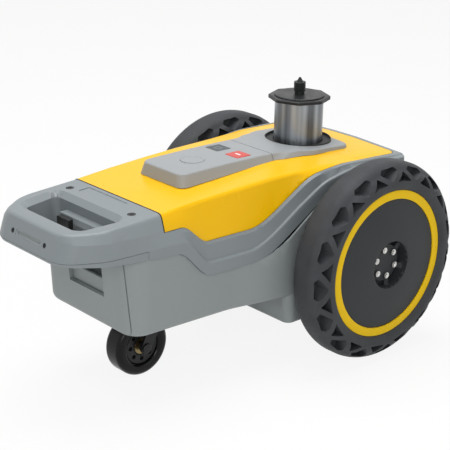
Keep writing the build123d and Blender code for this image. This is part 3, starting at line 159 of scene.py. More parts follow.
class RobotFinishes(bpy.types.PropertyGroup):
    """Colours of the robot's own surfaces"""
    shell: colour("Shell", "#80878A", "Grey of the belt and handle moulding")
    tub: colour("Tub", "#8A9091", "Grey of the lower body and its drawer")
    cover: colour("Cover", "#F3BC08", "Yellow of the top cover")
    console: colour("Console", "#989B9D", "Pale grey of the console and its collar")
    trim: colour("Trim", "#1C1D1E", "Black of small mouldings and inner pieces")
    tyre: colour("Tyre", "#3A3C3F", "Dark grey of the drive tyres")
    disc: colour("Wheel disc", "#292B2D", "Dark grey of the wheel mouldings")
    ring: colour("Wheel ring", "#E9BF00", "Yellow of the ring round each wheel")
    caster: colour("Caster tyre", "#09090B", "Black of the caster's tyre")
    key: colour("Stop key", "#C9423A", "Red of the stop key")
    mark: colour("Key mark", "#F4ECEA", "White of the bar on the stop key")
    window: colour("Display", "#3C4345", "Dark window of the status display")
    glyph: colour("Display mark", "#7C8688", "Dim outline that the display shows")
    steel: colour("Sleeve steel", "#9CA1A6", "Brushed stainless steel of the can sleeve")
    fixing: colour("Bright fixings", "#D2D1CE", "Zinc-plated screws in the wheel hubs")
    black_steel: colour("Blackened steel", "#191A1C", "Black oxide on the cap, spigot and fork")
    bearing: colour("Bearing race", "#9C8A62", "Brass-coloured bearing race in the caster")
    machined: colour("Machined steel", "#A9A9A8", "Bare steel of shafts, brackets and the tray")
    cast: colour("Cast metal", "#B4B5B7", "Bare aluminium of the motors and hub flanges")
    enamel: colour("Can enamel", "#C9C9C7", "White enamel of the marking can")
    lacquer: colour("Board lacquer", "#1E5A3C", "Green lacquer of the control board")


class RobotDetails(bpy.types.PropertyGroup):
    """Sizes of the details that are added to the CAD pieces"""
    spigot_neck: length("Spigot neck", 4.0 * MM, "Height of the neck under the spigot's rings")
    spigot_barrel: length("Spigot barrel", 16.4 * MM, "Height of the barrel's end over the foot")
    spigot_chamfer: length("Spigot chamfer", 0.5 * MM, "Chamfer on the barrel's upper end")
    thread_pitch: length("Thread pitch", 2.2 * MM, "Distance between the rings on the prism spigot")
    thread_depth: length("Thread depth", 0.75 * MM, "Depth of the grooves between those rings")
    mark_length: length("Mark length", 9.0 * MM, "Length of the white bar on the stop key")
    mark_width: length("Mark width", 3.0 * MM, "Width of the white bar on the stop key")
    glyph_size: length("Display mark", 9.0 * MM, "Side of the square outline on the display")
    glyph_line: length("Display line", 1.1 * MM, "Width of that outline")
    print_height: length("Print height", 0.08 * MM, "Height of printed marks over their surface")
    cover_edge: length("Cover edge", 0.7 * MM, "Rounding on the rim of the yellow cover")
    # The seam bead is painted shadow: a black line laid where the cover's seam is only a shaded gap
    seam_shade_radius: length("Seam shade radius", 0.6 * MM, "Radius of the bead in the seam round the cover")
    seam_shade_sink: length("Seam shade sink", 0.05 * MM, "How far that bead lies below the cover's rim")
    caster_edge: length("Caster edge", 6.0 * MM, "Rounding on the caster tyre's shoulders")
    liner_radius: length("Liner radius", 44.75 * MM, "Outer radius of the liner in the sleeve's hole")
    liner_wall: length("Liner wall", 1.1 * MM, "Thickness of that liner")
    liner_sink: length("Liner sink", 2.4 * MM, "How far the liner ends below the collar's highest place")
    wiper_radius: length("Wiper radius", 33.4 * MM, "Inner radius of the flange that wipes the sleeve")
    wiper_sink: length("Wiper sink", 5.6 * MM, "How far that flange lies below the collar's highest place")
    wiper_lip: length("Wiper lip", 0.9 * MM, "Height of the lip at the flange's inner edge")
    strip_place: position("Rim strip", (-193.6 * MM, 0, 238.25 * MM), "Middle of the strip in the grip's rim")
    strip_slope: degrees("Rim slope", 39.2, "Slope of the grip's front rim")
    strip_width: length("Strip width", 2.6 * MM, "Width of that strip up the slope")
    strip_length: length("Strip length", 122.0 * MM, "Length of that strip across the handle")
    strip_wall: length("Strip wall", 0.8 * MM, "Thickness of that strip")
    strip_edge: length("Strip edge", 0.1 * MM, "Rounding on that strip's edges")
    small_edge: length("Small edge", 0.35 * MM, "Rounding on the edges of small hard pieces")


class RobotTyre(bpy.types.PropertyGroup):
    """Pockets in the faces of the drive tyres; radii are from the axle, half widths across the radius"""
    count: bpy.props.IntProperty(name="Pockets", description="Pairs of pockets round each face", min=3,
                                 default=16)
    start: degrees("First pocket", 14.0, "Angle of the first triangle over level")
    gable_tip: length("Gable tip", 113.3 * MM, "Radius of a gable pocket's tip")
    gable_eave: length("Gable eaves", 123.5 * MM, "Radius of its eaves")
    gable_eave_half: length("Gable eaves, half", 16.9 * MM, "Half width at its eaves")
    gable_top: length("Gable top", 129.0 * MM, "Radius of its end at the tread")
    gable_top_half: length("Gable top, half", 12.5 * MM, "Half width of that end")
    gable_floor: length("Gable floor", 9.5 * MM, "Its floor's distance from the wheel's centre plane")
    triangle_base: length("Triangle base", 111.0 * MM, "Radius of a triangle's base")
    triangle_half: length("Triangle half", 13.1 * MM, "Half width of that base")
    triangle_tip: length("Triangle tip", 123.9 * MM, "Radius of its tip")
    triangle_floor: length("Triangle floor", 7.0 * MM, "Its floor's distance from the wheel's centre plane")
    draft: bpy.props.FloatProperty(name="Draft", description="Size of a floor as a share of the opening",
                                   min=0.1, max=1.0, default=0.82)
    corner: length("Corner", 1.6 * MM, "Rounding of the pockets' corners")
    edge: length("Edge", 0.9 * MM, "Rounding of the pockets' edges")
    steps: bpy.props.IntProperty(name="Steps", description="Facets round the tyre", min=32, default=160)


class RobotStage(bpy.types.PropertyGroup):
    """Camera, even light and floor"""
    lens: bpy.props.FloatProperty(name="Lens", description="Focal length in millimetres",
                                  subtype="DISTANCE_CAMERA", unit="CAMERA", default=104.51)
    spot: position("Camera place", (-1.0503, -1.2006, 0.7543), "Where the camera stands")
    turn: degrees("Turn", 41.81, "Camera's bearing, from a look along +Y towards a look along +X")
    tip: degrees("Tip", 20.06, "Camera's angle down from level")
    roll: degrees("Roll", 1.14, "Camera's roll about its own axis")
    sky: bpy.props.FloatProperty(name="Sky", description="Level of the even light from all round", min=0,
                                 default=0.40)
    floor: colour("Floor", "#EEEEEC", "Pale floor under the robot")
    glow: bpy.props.FloatProperty(name="Floor glow", description="Share of plain white in the floor as seen",
                                  min=0, max=1, default=0.88)


def add(tree, kind, inputs=None, **settings):
    """Add one node: settings go on the node, inputs are values or the sockets that feed it."""
    made = tree.nodes.new(kind)
    for name, value in settings.items():
        setattr(made, name, value)
    for key, value in (inputs or {}).items():
        if isinstance(value, bpy.types.NodeSocket):
            tree.links.new(value, made.inputs[key])
        else:
            made.inputs[key].default_value = value
    return made


def blank(name):
    """A new material without any node."""
    material = bpy.data.materials.new(name)
    material.use_nodes = True
    material.node_tree.nodes.clear()
    return material


def shade(base, share):
    """A colour made lighter or darker by a share, with full alpha."""
    return [min(1.0, c * share) for c in base] + [1.0]


def moulded(name, base, rough, grain=1.6, depth=0.05, mottle=0.03, sheen=0.3):
    """Plastic from a spark-eroded mould: an even satin skin whose fine grain breaks up highlights.

    The real grain is near 0.3 mm. It is drawn coarser, at the millimetres given, so that it shows at all."""
    cloud, lift, vary, ior = 85 * MM, 0.3 * MM, 0.05, 1.53
    tree = blank(name).node_tree
    place = add(tree, "ShaderNodeTexCoord").outputs["Object"]
    fine = add(tree, "ShaderNodeTexNoise", {"Vector": place, "Scale": 1 / (grain * MM), "Detail": 2.0})
    broad = add(tree, "ShaderNodeTexNoise", {"Vector": place, "Scale": 1 / cloud, "Detail": 3.0})
    tint = add(tree, "ShaderNodeMix", {
        "Factor": broad.outputs["Fac"], MIX_A: shade(base, 1 - mottle), MIX_B: shade(base, 1 + mottle)},
        data_type="RGBA")
    gloss = add(tree, "ShaderNodeMapRange", {
        "Value": broad.outputs["Fac"], "From Min": NOISE_LOW, "From Max": NOISE_HIGH,
        "To Min": rough - vary, "To Max": rough + vary})
    bump = add(tree, "ShaderNodeBump", {"Strength": depth, "Distance": lift, "Height": fine.outputs["Fac"]})
    skin = add(tree, "ShaderNodeBsdfPrincipled", {
        "Base Color": tint.outputs[MIXED], "Roughness": gloss.outputs[0], "Normal": bump.outputs[0],
        "IOR": ior, "Specular IOR Level": sheen})
    add(tree, "ShaderNodeOutputMaterial", {"Surface": skin.outputs[0]})


def rubber(name, base, rough, dust):
    """Moulded rubber: dull and dark, with pale dust caught in its grain.

    The grain is drawn coarser than the real one, which is well under a millimetre."""
    grain, patch, lift, strength = 2.2 * MM, 34 * MM, 0.4 * MM, 0.16
    clean_share, dust_from, dust_full = 0.94, 0.42, 0.72
    smoother, rougher, ior, sheen = 0.06, 0.08, 1.52, 0.25
    tree = blank(name).node_tree
    place = add(tree, "ShaderNodeTexCoord").outputs["Object"]
    fine = add(tree, "ShaderNodeTexNoise", {"Vector": place, "Scale": 1 / grain, "Detail": 3.0})
    cloud = add(tree, "ShaderNodeTexNoise", {"Vector": place, "Scale": 1 / patch, "Detail": 4.0})
    ramp = add(tree, "ShaderNodeMapRange", {
        "Value": cloud.outputs["Fac"], "From Min": dust_from, "From Max": dust_full, "To Min": 0.0,
        "To Max": 1.0})
    tint = add(tree, "ShaderNodeMix", {
        "Factor": ramp.outputs[0], MIX_A: shade(base, clean_share), MIX_B: shade(base, 1 + dust)},
        data_type="RGBA")
    bump = add(tree, "ShaderNodeBump", {
        "Strength": strength, "Distance": lift, "Height": fine.outputs["Fac"]})
    gloss = add(tree, "ShaderNodeMapRange", {
        "Value": fine.outputs["Fac"], "From Min": NOISE_LOW, "From Max": NOISE_HIGH,
        "To Min": rough - smoother, "To Max": rough + rougher})
    skin = add(tree, "ShaderNodeBsdfPrincipled", {
        "Base Color": tint.outputs[MIXED], "Roughness": gloss.outputs[0], "Normal": bump.outputs[0],
        "IOR": ior, "Specular IOR Level": sheen})
    add(tree, "ShaderNodeOutputMaterial", {"Surface": skin.outputs[0]})


def brushed(name, base, rough, stretch, streak, contrast, band=16.0, fine_share=1.0):
    """Brushed, machined or cast metal: streaks, brighter and darker by turns, in wider bands.

    Real brush marks are finer than 0.1 mm. Streaks and bands are drawn at the millimetres given, so that they
    show. The fine share is how much the streaks count beside the bands. On the can sleeve the wide light and
    dark bands are painted reflections."""
    middle, reach = 0.5 * (1 + fine_share), 0.14 * (1 + fine_share)
    brighter, strength, lift = contrast / 3, 0.04 * fine_share, 0.1 * MM
    smoother, rougher = 0.05, 0.1
    tree = blank(name).node_tree
    place = add(tree, "ShaderNodeTexCoord").outputs["Object"]
    along = add(tree, "ShaderNodeMapping", {"Vector": place, "Scale": stretch}).outputs[0]
    fine = add(tree, "ShaderNodeTexNoise", {"Vector": along, "Scale": 1 / (streak * MM), "Detail": 4.0})
    # Wide bands: the metal's own tone on most pieces, painted light and dark reflections on the can sleeve
    tone_and_reflection_bands = add(tree, "ShaderNodeTexNoise", {"Vector": along, "Scale": 1 / (band * MM), "Detail": 1.0})
    both = add(tree, "ShaderNodeMath", {0: fine.outputs["Fac"], 1: fine_share, 2: tone_and_reflection_bands.outputs["Fac"]},
               operation="MULTIPLY_ADD")
    ramp = add(tree, "ShaderNodeMapRange", {
        "Value": both.outputs[0], "From Min": middle - reach, "From Max": middle + reach, "To Min": 0.0,
        "To Max": 1.0})
    tint = add(tree, "ShaderNodeMix", {
        "Factor": ramp.outputs[0], MIX_A: shade(base, 1 - contrast), MIX_B: shade(base, 1 + brighter)},
        data_type="RGBA")
    gloss = add(tree, "ShaderNodeMapRange", {
        "Value": fine.outputs["Fac"], "From Min": NOISE_LOW, "From Max": NOISE_HIGH,
        "To Min": rough - smoother, "To Max": rough + rougher})
    bump = add(tree, "ShaderNodeBump", {
        "Strength": strength, "Distance": lift, "Height": fine.outputs["Fac"]})
    skin = add(tree, "ShaderNodeBsdfPrincipled", {
        "Base Color": tint.outputs[MIXED], "Roughness": gloss.outputs[0], "Metallic": 1.0,
        "Normal": bump.outputs[0]})
    add(tree, "ShaderNodeOutputMaterial", {"Surface": skin.outputs[0]})


def smooth_plastic(name, base, rough, coat=0.0, sheen=0.3):
    """Plastic from a polished mould, printed foil or lacquer: even colour, with faint waves in its gloss."""
    wave, lighter, vary, ior, coat_rough = 22 * MM, 0.03, 0.04, 1.5, 0.12
    tree = blank(name).node_tree
    place = add(tree, "ShaderNodeTexCoord").outputs["Object"]
    waves = add(tree, "ShaderNodeTexNoise", {"Vector": place, "Scale": 1 / wave, "Detail": 1.0})
    tint = add(tree, "ShaderNodeMix", {
        "Factor": waves.outputs["Fac"], MIX_A: shade(base, 1 - lighter), MIX_B: shade(base, 1 + lighter)},
        data_type="RGBA")
    gloss = add(tree, "ShaderNodeMapRange", {
        "Value": waves.outputs["Fac"], "From Min": NOISE_LOW, "From Max": NOISE_HIGH,
        "To Min": rough - vary, "To Max": rough + vary})
    skin = add(tree, "ShaderNodeBsdfPrincipled", {
        "Base Color": tint.outputs[MIXED], "Roughness": gloss.outputs[0], "IOR": ior,
        "Specular IOR Level": sheen, "Coat Weight": coat, "Coat Roughness": coat_rough})
    add(tree, "ShaderNodeOutputMaterial", {"Surface": skin.outputs[0]})


def blackened(name, base, rough):
    """Black-oxide steel: a dark satin film, part metal and part coat, with tiny pits.

    The pits are drawn coarser than the real ones, which are under 0.1 mm."""
    pit, patch, lift, strength = 1.4 * MM, 18 * MM, 0.1 * MM, 0.1
    darker, lighter, vary, metal = 0.85, 1.2, 0.06, 0.35
    tree = blank(name).node_tree
    place = add(tree, "ShaderNodeTexCoord").outputs["Object"]
    pits = add(tree, "ShaderNodeTexNoise", {"Vector": place, "Scale": 1 / pit, "Detail": 3.0})
    cloud = add(tree, "ShaderNodeTexNoise", {"Vector": place, "Scale": 1 / patch, "Detail": 2.0})
    tint = add(tree, "ShaderNodeMix", {
        "Factor": cloud.outputs["Fac"], MIX_A: shade(base, darker), MIX_B: shade(base, lighter)},
        data_type="RGBA")
    gloss = add(tree, "ShaderNodeMapRange", {
        "Value": cloud.outputs["Fac"], "From Min": NOISE_LOW, "From Max": NOISE_HIGH,
        "To Min": rough - vary, "To Max": rough + vary})
    bump = add(tree, "ShaderNodeBump", {
        "Strength": strength, "Distance": lift, "Height": pits.outputs["Fac"]})
    skin = add(tree, "ShaderNodeBsdfPrincipled", {
        "Base Color": tint.outputs[MIXED], "Roughness": gloss.outputs[0], "Metallic": metal,
        "Normal": bump.outputs[0]})
    add(tree, "ShaderNodeOutputMaterial", {"Surface": skin.outputs[0]})


def seen_rays(tree):
    """1 for rays that look at a thing, straight, mirrored or through glass, and 0 for those that light it."""
    path = add(tree, "ShaderNodeLightPath")
    seen = path.outputs["Is Camera Ray"]
    for other in ("Is Glossy Ray", "Is Transmission Ray"):
        seen = add(tree, "ShaderNodeMath", {0: seen, 1: path.outputs[other]}, operation="MAXIMUM").outputs[0]
    return seen


def only(obj):
    """Select one object alone and make it active."""
    bpy.ops.object.select_all(action="DESELECT")
    obj.select_set(True)
    bpy.context.view_layer.objects.active = obj
    return obj


def finish_with(obj, kind, **settings):
    """Add a modifier to an object and apply it."""
    only(obj)
    made = obj.modifiers.new(kind.lower(), kind)
    for name, value in settings.items():
        setattr(made, name, value)
    bpy.ops.object.modifier_apply(modifier=made.name)


def round_edges(obj, width, angle, segments=EDGE_STEPS):
    """Round an object's edges where its faces meet at more than an angle in degrees."""
    finish_with(obj, "BEVEL", width=width, segments=segments, limit_method="ANGLE",
                angle_limit=math.radians(angle), use_clamp_overlap=True)


def body_of(node):
    """Name of the body that a CAD node belongs to."""
    for body, members in frame["record"]["behaviour"]["bodies"].items():
        if node in members:
            return body
    raise RuntimeError(f"no body holds {node}")


def give(obj, material):
    """Make a named material an object's only one."""
    obj.data.materials.clear()
    obj.data.materials.append(bpy.data.materials[material])


def copied(source, name):
    """A copy of an object with its own mesh, selected alone."""
    twin = bpy.data.objects.new(name, source.data.copy())
    bpy.context.scene.collection.objects.link(twin)
    return only(twin)


def welded(node, name, melt):
    """A copy of a CAD node with its corners merged, and facets that differ by less than an angle made one."""
    skin = copied(frame["nodes"][node], name)
    bpy.ops.object.mode_set(mode="EDIT")
    bpy.ops.mesh.select_all(action="SELECT")
    bpy.ops.mesh.remove_doubles(threshold=WELD)
    if melt:
        bpy.ops.mesh.dissolve_limited(angle_limit=math.radians(melt))
    bpy.ops.object.mode_set(mode="OBJECT")
    return skin


def dress(node, material, angle=SOFT, edge=0.0, segments=EDGE_STEPS, melt=0.0):
    """A finished skin for a CAD node, shaded softly up to an angle, its edges rounded by a given size."""
    skin = welded(node, node + "_skin", melt or (EDGE_MELT if edge else 0.0))
    if edge:
        round_edges(skin, edge, ROUND, segments)
    bpy.ops.object.shade_smooth_by_angle(angle=math.radians(angle))
    finish_with(skin, "WEIGHTED_NORMAL", keep_sharp=True)
    give(skin, material)
    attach(skin, body_of(node))
    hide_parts(node)


def place_origin(obj):
    """Put an object's place into its mesh."""
    only(obj)
    bpy.ops.object.transform_apply(location=True, rotation=True, scale=True)


def move_rim(points):
    """Move the corners of the disc that is in edit mode, one by one, to the given places."""
    disc = bpy.context.active_object.data
    rim = bmesh.from_edit_mesh(disc)
    for corner, place in zip(rim.verts, points):
        corner.co = place
    bmesh.update_edit_mesh(disc)


def bowed(start, end, out):
    """Points on a flat bow between two (r, y) points, without its end."""
    shares = [i / BOW_STEPS for i in range(BOW_STEPS)]
    return [[a + (b - a) * t + 4 * out * t * (1 - t) for a, b in zip(start, end)] for t in shares]


def prism(points, start, end, corner, share):
    """A drafted prism along Y: a disc moved to (x, z) points, its corners rounded, drawn out and narrowed."""
    bpy.ops.object.select_all(action="DESELECT")
    bpy.ops.mesh.primitive_circle_add(vertices=len(points), fill_type="NGON")
    bpy.ops.object.mode_set(mode="EDIT")
    move_rim([(x, start, z) for x, z in points])
    bpy.ops.mesh.select_all(action="SELECT")
    bpy.ops.mesh.bevel(offset=corner, segments=POCKET_STEPS, affect="VERTICES")
    bpy.ops.mesh.select_mode(type="FACE")
    bpy.ops.mesh.select_all(action="SELECT")
    bpy.ops.mesh.extrude_region_move(TRANSFORM_OT_translate={"value": (0, end - start, 0)})
    middle = [sum(values) / len(points) for values in zip(*points)]
    bpy.ops.transform.resize(value=(share, 1, share), center_override=(middle[0], end, middle[1]))
    bpy.ops.mesh.select_all(action="SELECT")
    bpy.ops.mesh.normals_make_consistent(inside=False)
    bpy.ops.mesh.select_mode(type="VERT")
    bpy.ops.object.mode_set(mode="OBJECT")
    return bpy.context.active_object


def swept_ring(name, centre, section, axis, steps):
    """A ring: a circle whose corners are moved to places seen from its centre, then swept about an axis."""
    bpy.ops.object.select_all(action="DESELECT")
    bpy.ops.mesh.primitive_circle_add(vertices=len(section), fill_type="NOTHING", location=centre)
    ring = bpy.context.active_object
    ring.name = name
    bpy.ops.object.mode_set(mode="EDIT")
    move_rim(section)
    bpy.ops.object.mode_set(mode="OBJECT")
    finish_with(ring, "SCREW", axis=axis, steps=steps, render_steps=steps, use_merge_vertices=True,
                merge_threshold=MERGE)
    place_origin(ring)
    bpy.ops.object.mode_set(mode="EDIT")
    bpy.ops.mesh.select_all(action="SELECT")
    bpy.ops.mesh.normals_make_consistent(inside=False)
    bpy.ops.object.mode_set(mode="OBJECT")
    return ring


def turned(name, centre, outline, sides=64):
    """A turned piece: a disc that is extruded and scaled ring by ring along an (r, z) outline."""
    bpy.ops.object.select_all(action="DESELECT")
    first_r, first_z = outline[0]
    bpy.ops.mesh.primitive_circle_add(vertices=sides, radius=first_r, fill_type="NGON",
                                      location=(centre[0], centre[1], first_z))
    piece = bpy.context.active_object
    piece.name = name
    place_origin(piece)
    bpy.ops.object.mode_set(mode="EDIT")
    bpy.ops.mesh.select_mode(type="FACE")
    bpy.ops.mesh.select_all(action="SELECT")
    bpy.ops.mesh.flip_normals()
    last_r, last_z = first_r, first_z
    for r, z in outline[1:]:
        bpy.ops.mesh.extrude_region_move(TRANSFORM_OT_translate={"value": (0, 0, z - last_z)})
        share = r / last_r
        bpy.ops.transform.resize(value=(share, share, 1), center_override=(centre[0], centre[1], z))
        last_r, last_z = r, z
    bpy.ops.mesh.select_all(action="SELECT")
    bpy.ops.mesh.normals_make_consistent(inside=False)
    bpy.ops.object.mode_set(mode="OBJECT")
    return piece


class MakeFinishes(bpy.types.Operator):
    """Make the robot's materials"""
    bl_idname = "robot.finishes"
    bl_label = "Finishes"

    def execute(self, context):
        colours = context.scene.robot_finishes
        self.mould_plastics(colours)
        self.polish_plastics(colours)
        self.work_metals(colours)
        return {"FINISHED"}

    def mould_plastics(self, colours):
        """Grained plastics and the tyre's rubber."""
        # Belt and handle, grained ABS: satin grey with soft, wide highlights
        moulded("grey_abs_belt", colours.shell, rough=0.4, sheen=0.35)
        # Tub and drawer, ABS with a deeper grain: flatter and duller than the belt
        moulded("grey_abs_tub", colours.tub, rough=0.48, depth=0.07, mottle=0.035)
        # Cover, fine-grained PC/ABS: a full, even yellow with narrower highlights
        moulded("yellow_pc_abs", colours.cover, rough=0.3, depth=0.03, mottle=0.015, sheen=0.17)
        # Console and collar, pale ABS with little grain: even and nearly matt
        moulded("pale_abs_console", colours.console, rough=0.45, depth=0.04, mottle=0.02)
        # Small black mouldings, nylon: matt black with a faint mottle
        moulded("black_nylon", colours.trim, rough=0.5, depth=0.08, mottle=0.08)
        # Wheel discs, glass-filled nylon: dull dark grey, roughened by the fibres under its skin
        moulded("glass_filled_nylon_wheel", colours.disc, rough=0.55, grain=1.2, depth=0.09, mottle=0.05)
        # Drive tyres, moulded rubber: dull dark grey with paler patches of dust
        rubber("moulded_tyre_rubber", colours.tyre, rough=0.62, dust=0.2)

    def polish_plastics(self, colours):
        """Smooth plastics, prints and lacquers."""
        # Caster tyre, cast polyurethane: smooth black with small, clear highlights
        smooth_plastic("caster_polyurethane", colours.caster, rough=0.24, sheen=0.2)
        # Wheel rings, moulded acetal: a waxy yellow
        smooth_plastic("yellow_ring_acetal", colours.ring, rough=0.36, sheen=0.15)
        # Stop key, printed foil: flat red with a faint gloss
        smooth_plastic("red_key_foil", colours.key, rough=0.34)
        # Bar on the stop key, screen print: a duller white
        smooth_plastic("white_key_print", colours.mark, rough=0.4)
        # Display, tinted acrylic: a dark pane that mirrors a little
        smooth_plastic("display_window", colours.window, rough=0.3, sheen=0.2)
        # Outline on the display, screen print: dim grey
        smooth_plastic("display_print", colours.glyph, rough=0.4)
        # Marking can, enamelled tinplate: white under a thin clear gloss
        smooth_plastic("white_can_enamel", colours.enamel, rough=0.35, coat=0.2)
        # Control board, lacquered laminate: dark green under a thin clear gloss
        smooth_plastic("green_board_lacquer", colours.lacquer, rough=0.35, coat=0.2)

    def work_metals(self, colours):
        """Bare, plated and blackened metals."""
        # Can sleeve, brushed stainless steel: long upright brushed streaks, and wide light and dark bands
        # that are painted reflections
        brushed("brushed_stainless_painted_reflection", colours.steel, rough=0.36, stretch=UPRIGHT_GRAIN, streak=1.1,
                contrast=0.55, band=12.0, fine_share=0.12)
        # Wheel screws, zinc-plated steel: bright, a little cloudy
        brushed("zinc_plated_steel", colours.fixing, rough=0.3, stretch=NO_GRAIN, streak=2.0, contrast=0.2)
        # Caster bearings, brass-coloured races: warm and bright
        brushed("bearing_brass", colours.bearing, rough=0.34, stretch=NO_GRAIN, streak=2.0, contrast=0.25)
        # Shafts, brackets and tray, machined steel: grey with tool marks along the axle
        brushed("machined_steel", colours.machined, rough=0.38, stretch=AXLE_GRAIN, streak=1.6, contrast=0.25)
        # Motors and hub flanges, cast aluminium: pale, blotchy and dull
        brushed("cast_aluminium", colours.cast, rough=0.5, stretch=NO_GRAIN, streak=3.0, contrast=0.15)
        # Cap, spigot, fork and handle screws, black-oxide steel: satin black with a metal's broad sheen
        blackened("black_oxide_steel", colours.black_steel, rough=0.42)


class DressBody(bpy.types.Operator):
    """Dress the belt, cover and tub mouldings"""
    bl_idname = "robot.body"
    bl_label = "Body"

    def execute(self, context):
        details = context.scene.robot_details
        dress("upper_shell", "grey_abs_belt", angle=30, melt=BODY_MELT)
        dress("top_cover", "yellow_pc_abs", angle=28, edge=details.cover_edge, melt=BODY_MELT)
        dress("lower_tub", "grey_abs_tub", angle=28)
        # Painted shadow: a black bead laid in the cover's seam so that the gap reads dark
        self.paint_seam_shade(details)
        return {"FINISHED"}

    def paint_seam_shade(self, details):
        """A thin black bead in the seam round the cover, led along the rim of the cover's outer skin: painted
        shadow that makes the seam a dark line.
        """
        bead = welded("top_cover", "cover_seam_shade", BODY_MELT)
        bpy.ops.object.mode_set(mode="EDIT")
        bpy.ops.mesh.select_mode(type="FACE")
        bpy.ops.mesh.select_all(action="DESELECT")
        cover = bmesh.from_edit_mesh(bead.data)
        max(cover.faces, key=lambda face: face.calc_area() * face.normal.z).select_set(True)
        bmesh.update_edit_mesh(bead.data)
        bpy.ops.mesh.faces_select_linked_flat(sharpness=math.radians(SKIN_TURN))
        bpy.ops.mesh.region_to_loop()
        bpy.ops.mesh.duplicate()
        bpy.ops.mesh.select_all(action="INVERT")
        bpy.ops.mesh.delete(type="VERT")
        bpy.ops.mesh.select_mode(type="VERT")
        rims = bmesh.from_edit_mesh(bead.data)
        min(rims.verts, key=lambda corner: corner.co.x).select_set(True)
        bmesh.update_edit_mesh(bead.data)
        bpy.ops.mesh.select_linked()
        bpy.ops.mesh.select_all(action="INVERT")
        bpy.ops.mesh.delete(type="VERT")
        bpy.ops.mesh.select_all(action="SELECT")
        bpy.ops.transform.translate(value=(0, 0, -details.seam_shade_sink))
        bpy.ops.object.mode_set(mode="OBJECT")
        bpy.ops.object.convert(target="CURVE")
        bpy.context.active_object.data.bevel_depth = details.seam_shade_radius
        bpy.context.active_object.data.bevel_resolution = BEAD_STEPS
        bpy.ops.object.convert(target="MESH")
        bead = bpy.context.active_object
        bpy.ops.object.shade_smooth()
        give(bead, "black_nylon")
        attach(bead, body_of("top_cover"))


class DressHandle(bpy.types.Operator):
    """Dress the fittings on and in the carrying handle, and close its rim"""
    bl_idname = "robot.handle"
    bl_label = "Handle fittings"

    def execute(self, context):
        details = context.scene.robot_details
        dress("handle_screws", "black_oxide_steel")
        dress("end_plate_screws", "black_oxide_steel")
        dress("handle_end_plate", "grey_abs_tub")
        dress("latch_keeper", "black_nylon", edge=details.small_edge)
        self.close_rim(details)
        return {"FINISHED"}

    def close_rim(self, details):
        """A strip of the handle's own plastic let into the sloped front rim of the hand opening."""
        bpy.ops.object.select_all(action="DESELECT")
        bpy.ops.mesh.primitive_cube_add(size=1, location=details.strip_place)
        strip = bpy.context.active_object
        strip.name = "grip_rim_strip"
        strip.scale = (details.strip_width, details.strip_length, details.strip_wall)
        strip.rotation_euler.y = -details.strip_slope
        place_origin(strip)
        finish_with(strip, "BEVEL", width=details.strip_edge, segments=EDGE_STEPS)
        give(strip, "grey_abs_belt")
        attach(strip, body_of("upper_shell"))


class DressDrawer(bpy.types.Operator):
    """Dress the battery drawer with its pull bar"""
    bl_idname = "robot.drawer"
    bl_label = "Battery drawer"

    def execute(self, context):
        edge = context.scene.robot_details.small_edge
        dress("drawer_front", "grey_abs_tub", angle=28)
        dress("pull_pocket", "grey_abs_tub")
        dress("latch_paddle", "grey_abs_tub", edge=edge)
        dress("paddle_pin", "machined_steel")
        dress("drawer_tray", "machined_steel", edge=edge)
        dress("battery_pack", "black_nylon", edge=edge)
        dress("drawer_rails", "black_nylon", edge=edge)
        return {"FINISHED"}


class DressConsole(bpy.types.Operator):
    """Dress the console, its keys and its display"""
    bl_idname = "robot.console"
    bl_label = "Console"

    def execute(self, context):
        details = context.scene.robot_details
        dress("console_panel", "pale_abs_console", angle=18, melt=0.2)
        dress("canister_collar", "pale_abs_console", angle=28, melt=4.0)
        dress("power_button", "pale_abs_console")
        dress("stop_button", "red_key_foil")
        dress("status_display", "display_window", edge=details.small_edge)
        bar = self.print_mark("stop_key_bar", "stop_button", details.mark_width, details.mark_length)
        give(bar, "white_key_print")
        square = self.print_mark("display_square", "status_display", details.glyph_size, details.glyph_size,
                                 line=details.glyph_line)
        give(square, "display_print")
        return {"FINISHED"}

    def print_mark(self, name, node, wide, long, line=0.0):
        """A flat mark with round corners printed on a node's top, as an outline if a line width is given."""
        low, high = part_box(node)
        bpy.ops.object.select_all(action="DESELECT")
        bpy.ops.mesh.primitive_plane_add(size=1, location=(*((low + high) / 2).xy, high.z))
        mark = bpy.context.active_object
        mark.name = name
        mark.scale = (wide, long, 1)
        place_origin(mark)
        bpy.ops.object.mode_set(mode="EDIT")
        bpy.ops.mesh.select_all(action="SELECT")
        bpy.ops.mesh.bevel(offset=min(wide, long) * MARK_CORNER, segments=MARK_STEPS, affect="VERTICES")
        bpy.ops.mesh.select_mode(type="FACE")
        bpy.ops.mesh.select_all(action="SELECT")
        if line:
            bpy.ops.mesh.inset(thickness=line)
            bpy.ops.mesh.delete(type="FACE")
            bpy.ops.mesh.select_all(action="SELECT")
        rise = bpy.context.scene.robot_details.print_height
        bpy.ops.mesh.extrude_region_move(TRANSFORM_OT_translate={"value": (0, 0, rise)})
        bpy.ops.mesh.select_all(action="SELECT")
        bpy.ops.mesh.normals_make_consistent(inside=False)
        bpy.ops.object.mode_set(mode="OBJECT")
        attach(mark, body_of(node))
        return mark


